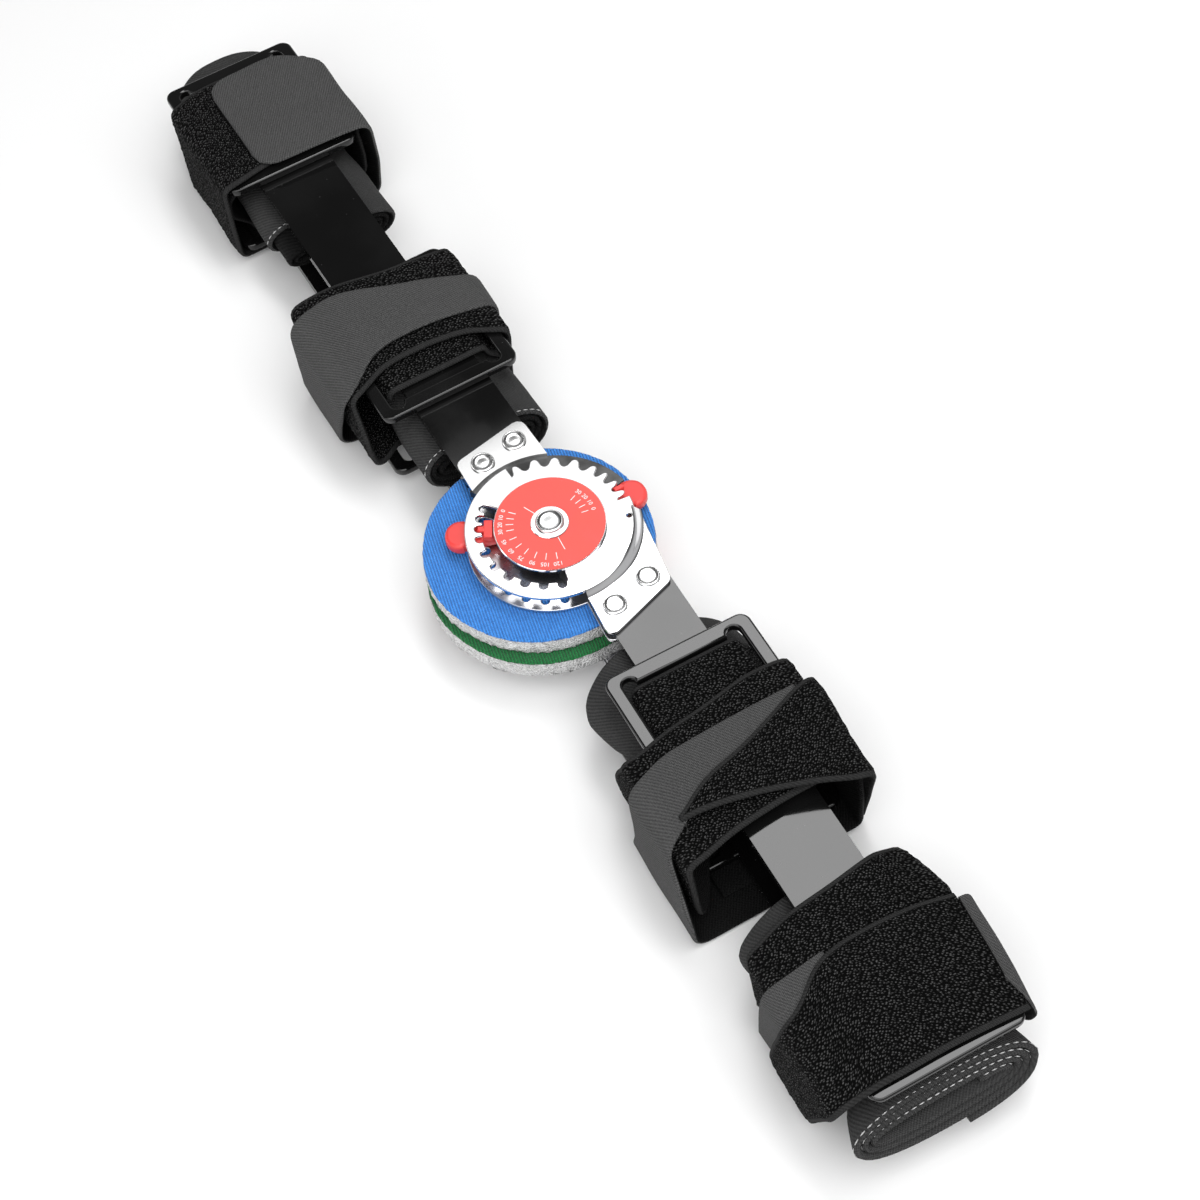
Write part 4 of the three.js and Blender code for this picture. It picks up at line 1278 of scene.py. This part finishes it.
# %% [markdown]
# ## Tabs
# The free end of each strap comes up one side, crosses the top and holds itself there. On the far
# thigh strap it is a plain grey tongue. On the near thigh strap it slants across. On the calf straps
# pile lies over the grey tape, and the tape shows as a triangle at the fold. Each layer is its own
# band, with the same rows of (across, up, corner radius, far edge, near edge).

# %% Lay the four tabs
TAPE = 1.8
TAB_NAP = 0.5
FINE, COARSE = 1.2, 1.6
LOW_EDGE = {"by": 2.5, "from": 213.0, "over": 11.0}
TABS = {
    "thigh_far": {
        "outer": hook_tape, "tongue": 9.0,
        "rows": [(20, -20.7, 0, -246, -202), (-32.5, -20.7, 5, -240, -202), (-33.5, 0, 20, -233, -199),
                 (-32.5, 20.7, 9, -240.5, -198.6), (-24, 20.7, 0, -250.0, -199.5),
                 (-17, 20.7, 0, -253.6, -199.9),
                 (-6, 20.7, 0, -253.2, -200.3), (13.2, 20.7, 0, -252.0, -200.8)]},
    "thigh_near": {
        "outer": hook_tape,
        "rows": [(20, -20.7, 0, -134, -92), (-36.6, -20.7, 6, -128, -97.5), (-37.5, 0, 20, -124, -89.5),
                 (-36.6, 20.7, 16, -127, -84.5), (-23, 20.7, 0, -130.4, -94.2), (-17, 20.7, 0, -130, -97.6),
                 (-8, 20.7, 0, -127, -98.9), (2, 20.7, 0, -122.4, -99.1), (11, 20.7, 0, -119.3, -98.4),
                 (20, 20.7, 0, -115.9, -96.8), (31.2, 20.5, 6, -111, -95), (31.9, 3, 20, -112, -97),
                 (31.8, -16, 0, -116, -101)]},
    "calf_near": {
        "outer": hook_tape,
        "rows": [(20, -20.7, 0, 96, 143), (-39, -20.7, 5, 102, 144), (-40, 0, 20, 108, 143),
                 (-39, 20.7, 8, 103.5, 128), (-29, 20.7, 0, 98.7, 121.5), (-17, 20.7, 0, 97.8, 115),
                 (0, 20.7, 0, 97.2, 111), (14, 20.7, 0, 97, 105.5), (25.2, 20.7, 0, 96.9, 101)]},
    "calf_far": {
        "outer": loop_pile, "droop": LOW_EDGE,
        "rows": [(20, -20.7, 0, 178, 213), (-38.5, -20.7, 6, 188, 213), (-39.5, 0, 20, 191.5, 219.5),
                 (-38.5, 21.2, 12, 195, 226.0), (-25, 21.2, 0, 186.2, 224.9), (-16, 21.2, 0, 181.3, 225.3),
                 (-2, 21.2, 0, 180.6, 225), (10, 21.2, 0, 181.2, 225.4), (21, 21.4, 0, 182.6, 226.0),
                 (28.4, 21.4, 0, 185.6, 226.6)]},
}


def lay(name, layer, bar, hand, on, *replaced, thickness, soften, seed):
    """One layer of tape or pile along its rows, which lay it over another band; on is not used."""
    pile = layer["outer"] is loop_pile
    fine = FINE if pile else COARSE
    tongue = layer.get("tongue", 0.0)
    made = band(name, layer["rows"], bar, thickness, layer["outer"], back_tape_painted_shade, hand, step=fine, across=fine,
                soften=soften, seed=seed, nap=TAB_NAP if pile else 0.0, tongue=tongue,
                lean=layer.get("lean"), droop=layer.get("droop"), straight=tongue > 0)
    declare_band(made, "pile" if pile else "hook", [on], *replaced)


for order, (group, tab) in enumerate(TABS.items()):
    strap = STRAPS[group]
    lay(f"{group}_tab_tape", tab, strap["bar"], strap["hand"], f"{group}_strap_pile", f"{group}_tab",
        thickness=TAPE, soften=5.0, seed=41 + order)

# %% Layers over and under the calf tabs
LAYERS = {
    "calf_near_cover": {
        "outer": loop_pile, "thickness": 1.9, "on": "calf_near_tab_tape",
        "lean": {"rate": -0.05, "at": 108, "to": 250},
        "rows": [(-31, 21.4, 0, 121.2, 122.4), (-25, 22.0, 0, 117, 122.4), (-17, 22.4, 0, 112.5, 123.8),
                 (-4, 22.6, 0, 109.6, 126.8), (8, 22.6, 0, 105.3, 130.8), (17, 22.6, 0, 101.8, 134.2),
                 (24, 22.4, 0, 98.7, 137.5), (31.0, 21.9, 6, 97.5, 138.5), (31.7, 0, 20, 97, 135),
                 (31.2, -17, 0, 95, 132)]},
    "calf_far_fold": {
        "outer": hook_tape, "thickness": 0.8, "on": "calf_far_strap_pile",
        "rows": [(-37.9, -13, 0, 181.0, 199), (-38.2, 7, 20, 181.5, 201), (-38.0, 20.5, 9, 182.5, 200),
                 (-24, 20.5, 0, 181.5, 194), (-15, 20.5, 0, 180.4, 190)]},
    "calf_far_edge": {
        "outer": hook_tape, "thickness": 1.3, "on": "calf_far_tab_tape",
        "lean": {"rate": -0.085, "at": 186, "to": 250}, "droop": LOW_EDGE,
        "rows": [(27.8, 22.95, 0, 187, 205), (30.2, 22.8, 0, 187, 228), (32.6, 21.6, 2.5, 187, 228.5),
                 (33.2, 6, 20, 187.5, 226), (33.0, -12, 0, 188, 215)]},
}
for order, (name, layer) in enumerate(LAYERS.items()):
    lay(f"{name}_band", layer, "calf", 1, layer["on"],
        thickness=layer["thickness"], soften=4.0, seed=51 + order)

# %% [markdown]
# ## Rolled wraps
# Inside each strap lies the padded cloth that goes round the leg, rolled up flat between the bars. A
# spiral that shrinks by one cloth thickness each turn gives the roll. It swells where the strap no
# longer holds it, and its turns end at different places, as in a hand-rolled cloth: each roll says how
# its near end steps with the turn and slopes with the height, and how far its far end is domed.

# %% Roll the wraps
WRAP_CLOTH = 2.1
ROLL_TURNS = 3.45
ROLL_LEVELS = (1.0, 8.6)
LAST_TURN = 1 - 1 / ROLL_TURNS
ROLLS = {
    "thigh_far": {
        "far": -277.0, "near": -170.0, "tips": (22.4, 24.4), "step": -12.0, "slope": 0.0, "dome": 9.0,
        "swell": {"from": -250.0, "to": -207.0, "by": 0.05, "over": 14.0}},
    "thigh_near": {
        "far": -139.0, "near": -52.0, "tips": (22.4, 25.4), "step": 0.0, "slope": -0.5, "dome": 6.0,
        "swell": {"from": -128.0, "to": -82.0, "by": 0.05, "over": 14.0}},
    "calf_near": {
        "far": 48.5, "near": 112.0, "tips": (31.2, 23.4), "step": 0.0, "slope": -0.2, "dome": 9.0,
        "swell": {"from": 80.0, "to": 130.0, "by": 0.13, "over": 14.0}},
    "calf_far": {
        "far": 153.5, "near": 233.6, "tips": (31.5, 23.4), "step": 0.0, "slope": -0.65, "dome": 6.0,
        "swell": {"from": 173.0, "to": 220.0, "by": 0.19, "over": 12.0}},
}


def roll_rows(roll):
    """Rows of a flattened spiral, from its middle out."""
    inner_level, outer_level = ROLL_LEVELS
    rows = []
    steps = int(44 * ROLL_TURNS)
    for i in range(steps + 1):
        share = i / steps
        angle = math.tau * (0.2 - ROLL_TURNS * share)
        level_now = inner_level + (outer_level - inner_level) * share
        c, s = math.cos(angle), math.sin(angle)
        tip = roll["tips"][0 if c < 0 else 1] - (outer_level - level_now)
        y = tip * math.copysign(abs(c) ** 0.85, c)
        h = level_now * math.copysign(abs(s) ** 0.8, s)
        stepped = roll["step"] * eased(share, LAST_TURN - 0.03, 0.05) if y < 0 else 0.0
        near = roll["near"] + stepped + roll["slope"] * h
        rows.append((y, h, 0, roll["far"] + roll["dome"] * abs(y / tip) ** 3, near))
    return rows


for order, (group, roll) in enumerate(ROLLS.items()):
    bar = STRAPS[group]["bar"]
    # Painted shade: except on the far calf roll, the inner turns carry the near-black back tape on both
    # faces, for the shade inside the roll.
    shown_inside = group == "calf_far"
    made = band(f"{group}_wrap_roll", roll_rows(roll), bar, WRAP_CLOTH, wrap_knit,
                wrap_knit if shown_inside else back_tape_painted_shade, step=1.8, across=2.0, wave=0.12, soften=2.0,
                seed=61 + order, swell=roll["swell"], core=0.0 if shown_inside else LAST_TURN)
    settle(made, bar, "wrap_cloth", f"{group}_wrap")
    print(made.name, "rolled from", [round(v) for v in BANDS[made.name]["flat"]], "mm")

# %% [markdown]
# ## Stitching
# The wraps are hemmed with white thread, and the dashes show at their ends. Each stitch is a small
# lozenge standing a little proud of the cloth, placed along the edge of the roll at an even pitch.

# %% Sew the hems
STITCH = {"length": 1.5, "pitch": 2.3, "half": 0.24, "proud": 0.22, "sunk": 0.1, "inset": 1.1}
STITCH_SECTIONS = ((0.55, 0.2), (1.0, 1.0), (0.55, 0.2))
STITCH_FACES = tube_faces(3, 4) + [(0, 1, 2, 3), (11, 10, 9, 8)]


def stitch_points(line, start):
    """One lozenge on the near edge of a roll: three sections of four points, and their weave."""
    points = []
    weave = []
    lift_off = line["thickness"] / 2 + 0.02
    for k, (width, height) in enumerate(STITCH_SECTIONS):
        s = start + k * STITCH["length"] / 2
        keys = ("y", "h", "ny", "nh", "far", "near")
        y, h, ny, nh, far, near = (np.interp(s, line["s"], line[key]) for key in keys)
        x = near - STITCH["inset"]
        y = BARS[line["bar"]]["middle"] + (y + ny * lift_off) * swollen(line["swell"], x, far)
        h = h + nh * lift_off
        half = STITCH["half"] * width
        proud, sunk = STITCH["proud"] * height, STITCH["sunk"]
        points += [(x - half, y, h), (x, y + ny * proud, h + nh * proud), (x + half, y, h),
                   (x, y - ny * sunk, h - nh * sunk)]
        weave += [(across, start + k, 0) for across in (0, 0.3, 0.6, 0.3)]
    return points, weave


def hem(group, bar, skip, both_sides):
    """Dashes along the near edge of a roll, or only along the side that the strap's end leaves free."""
    line = BANDS[f"{group}_wrap_roll"]
    length = line["s"][-1]
    dashes = []
    weave = []
    for start in np.arange(2.0 + skip * length, length - 3.0, STITCH["pitch"]):
        if both_sides or np.interp(start, line["s"], line["y"]) <= 0:
            points, place = stitch_points(line, start)
            dashes.append((points, STITCH_FACES))
            weave += place
    turn = BARS[bar]["turn"]
    settle(new_piece(f"{group}_hem", *gathered(*dashes), [thread], turn, None, weave), bar, "wrap_cloth")


for group, strap in STRAPS.items():
    skip = 0.0 if group == "calf_far" else LAST_TURN + 0.02
    hem(group, strap["bar"], skip, group != "thigh_far")
print("hems sewn")
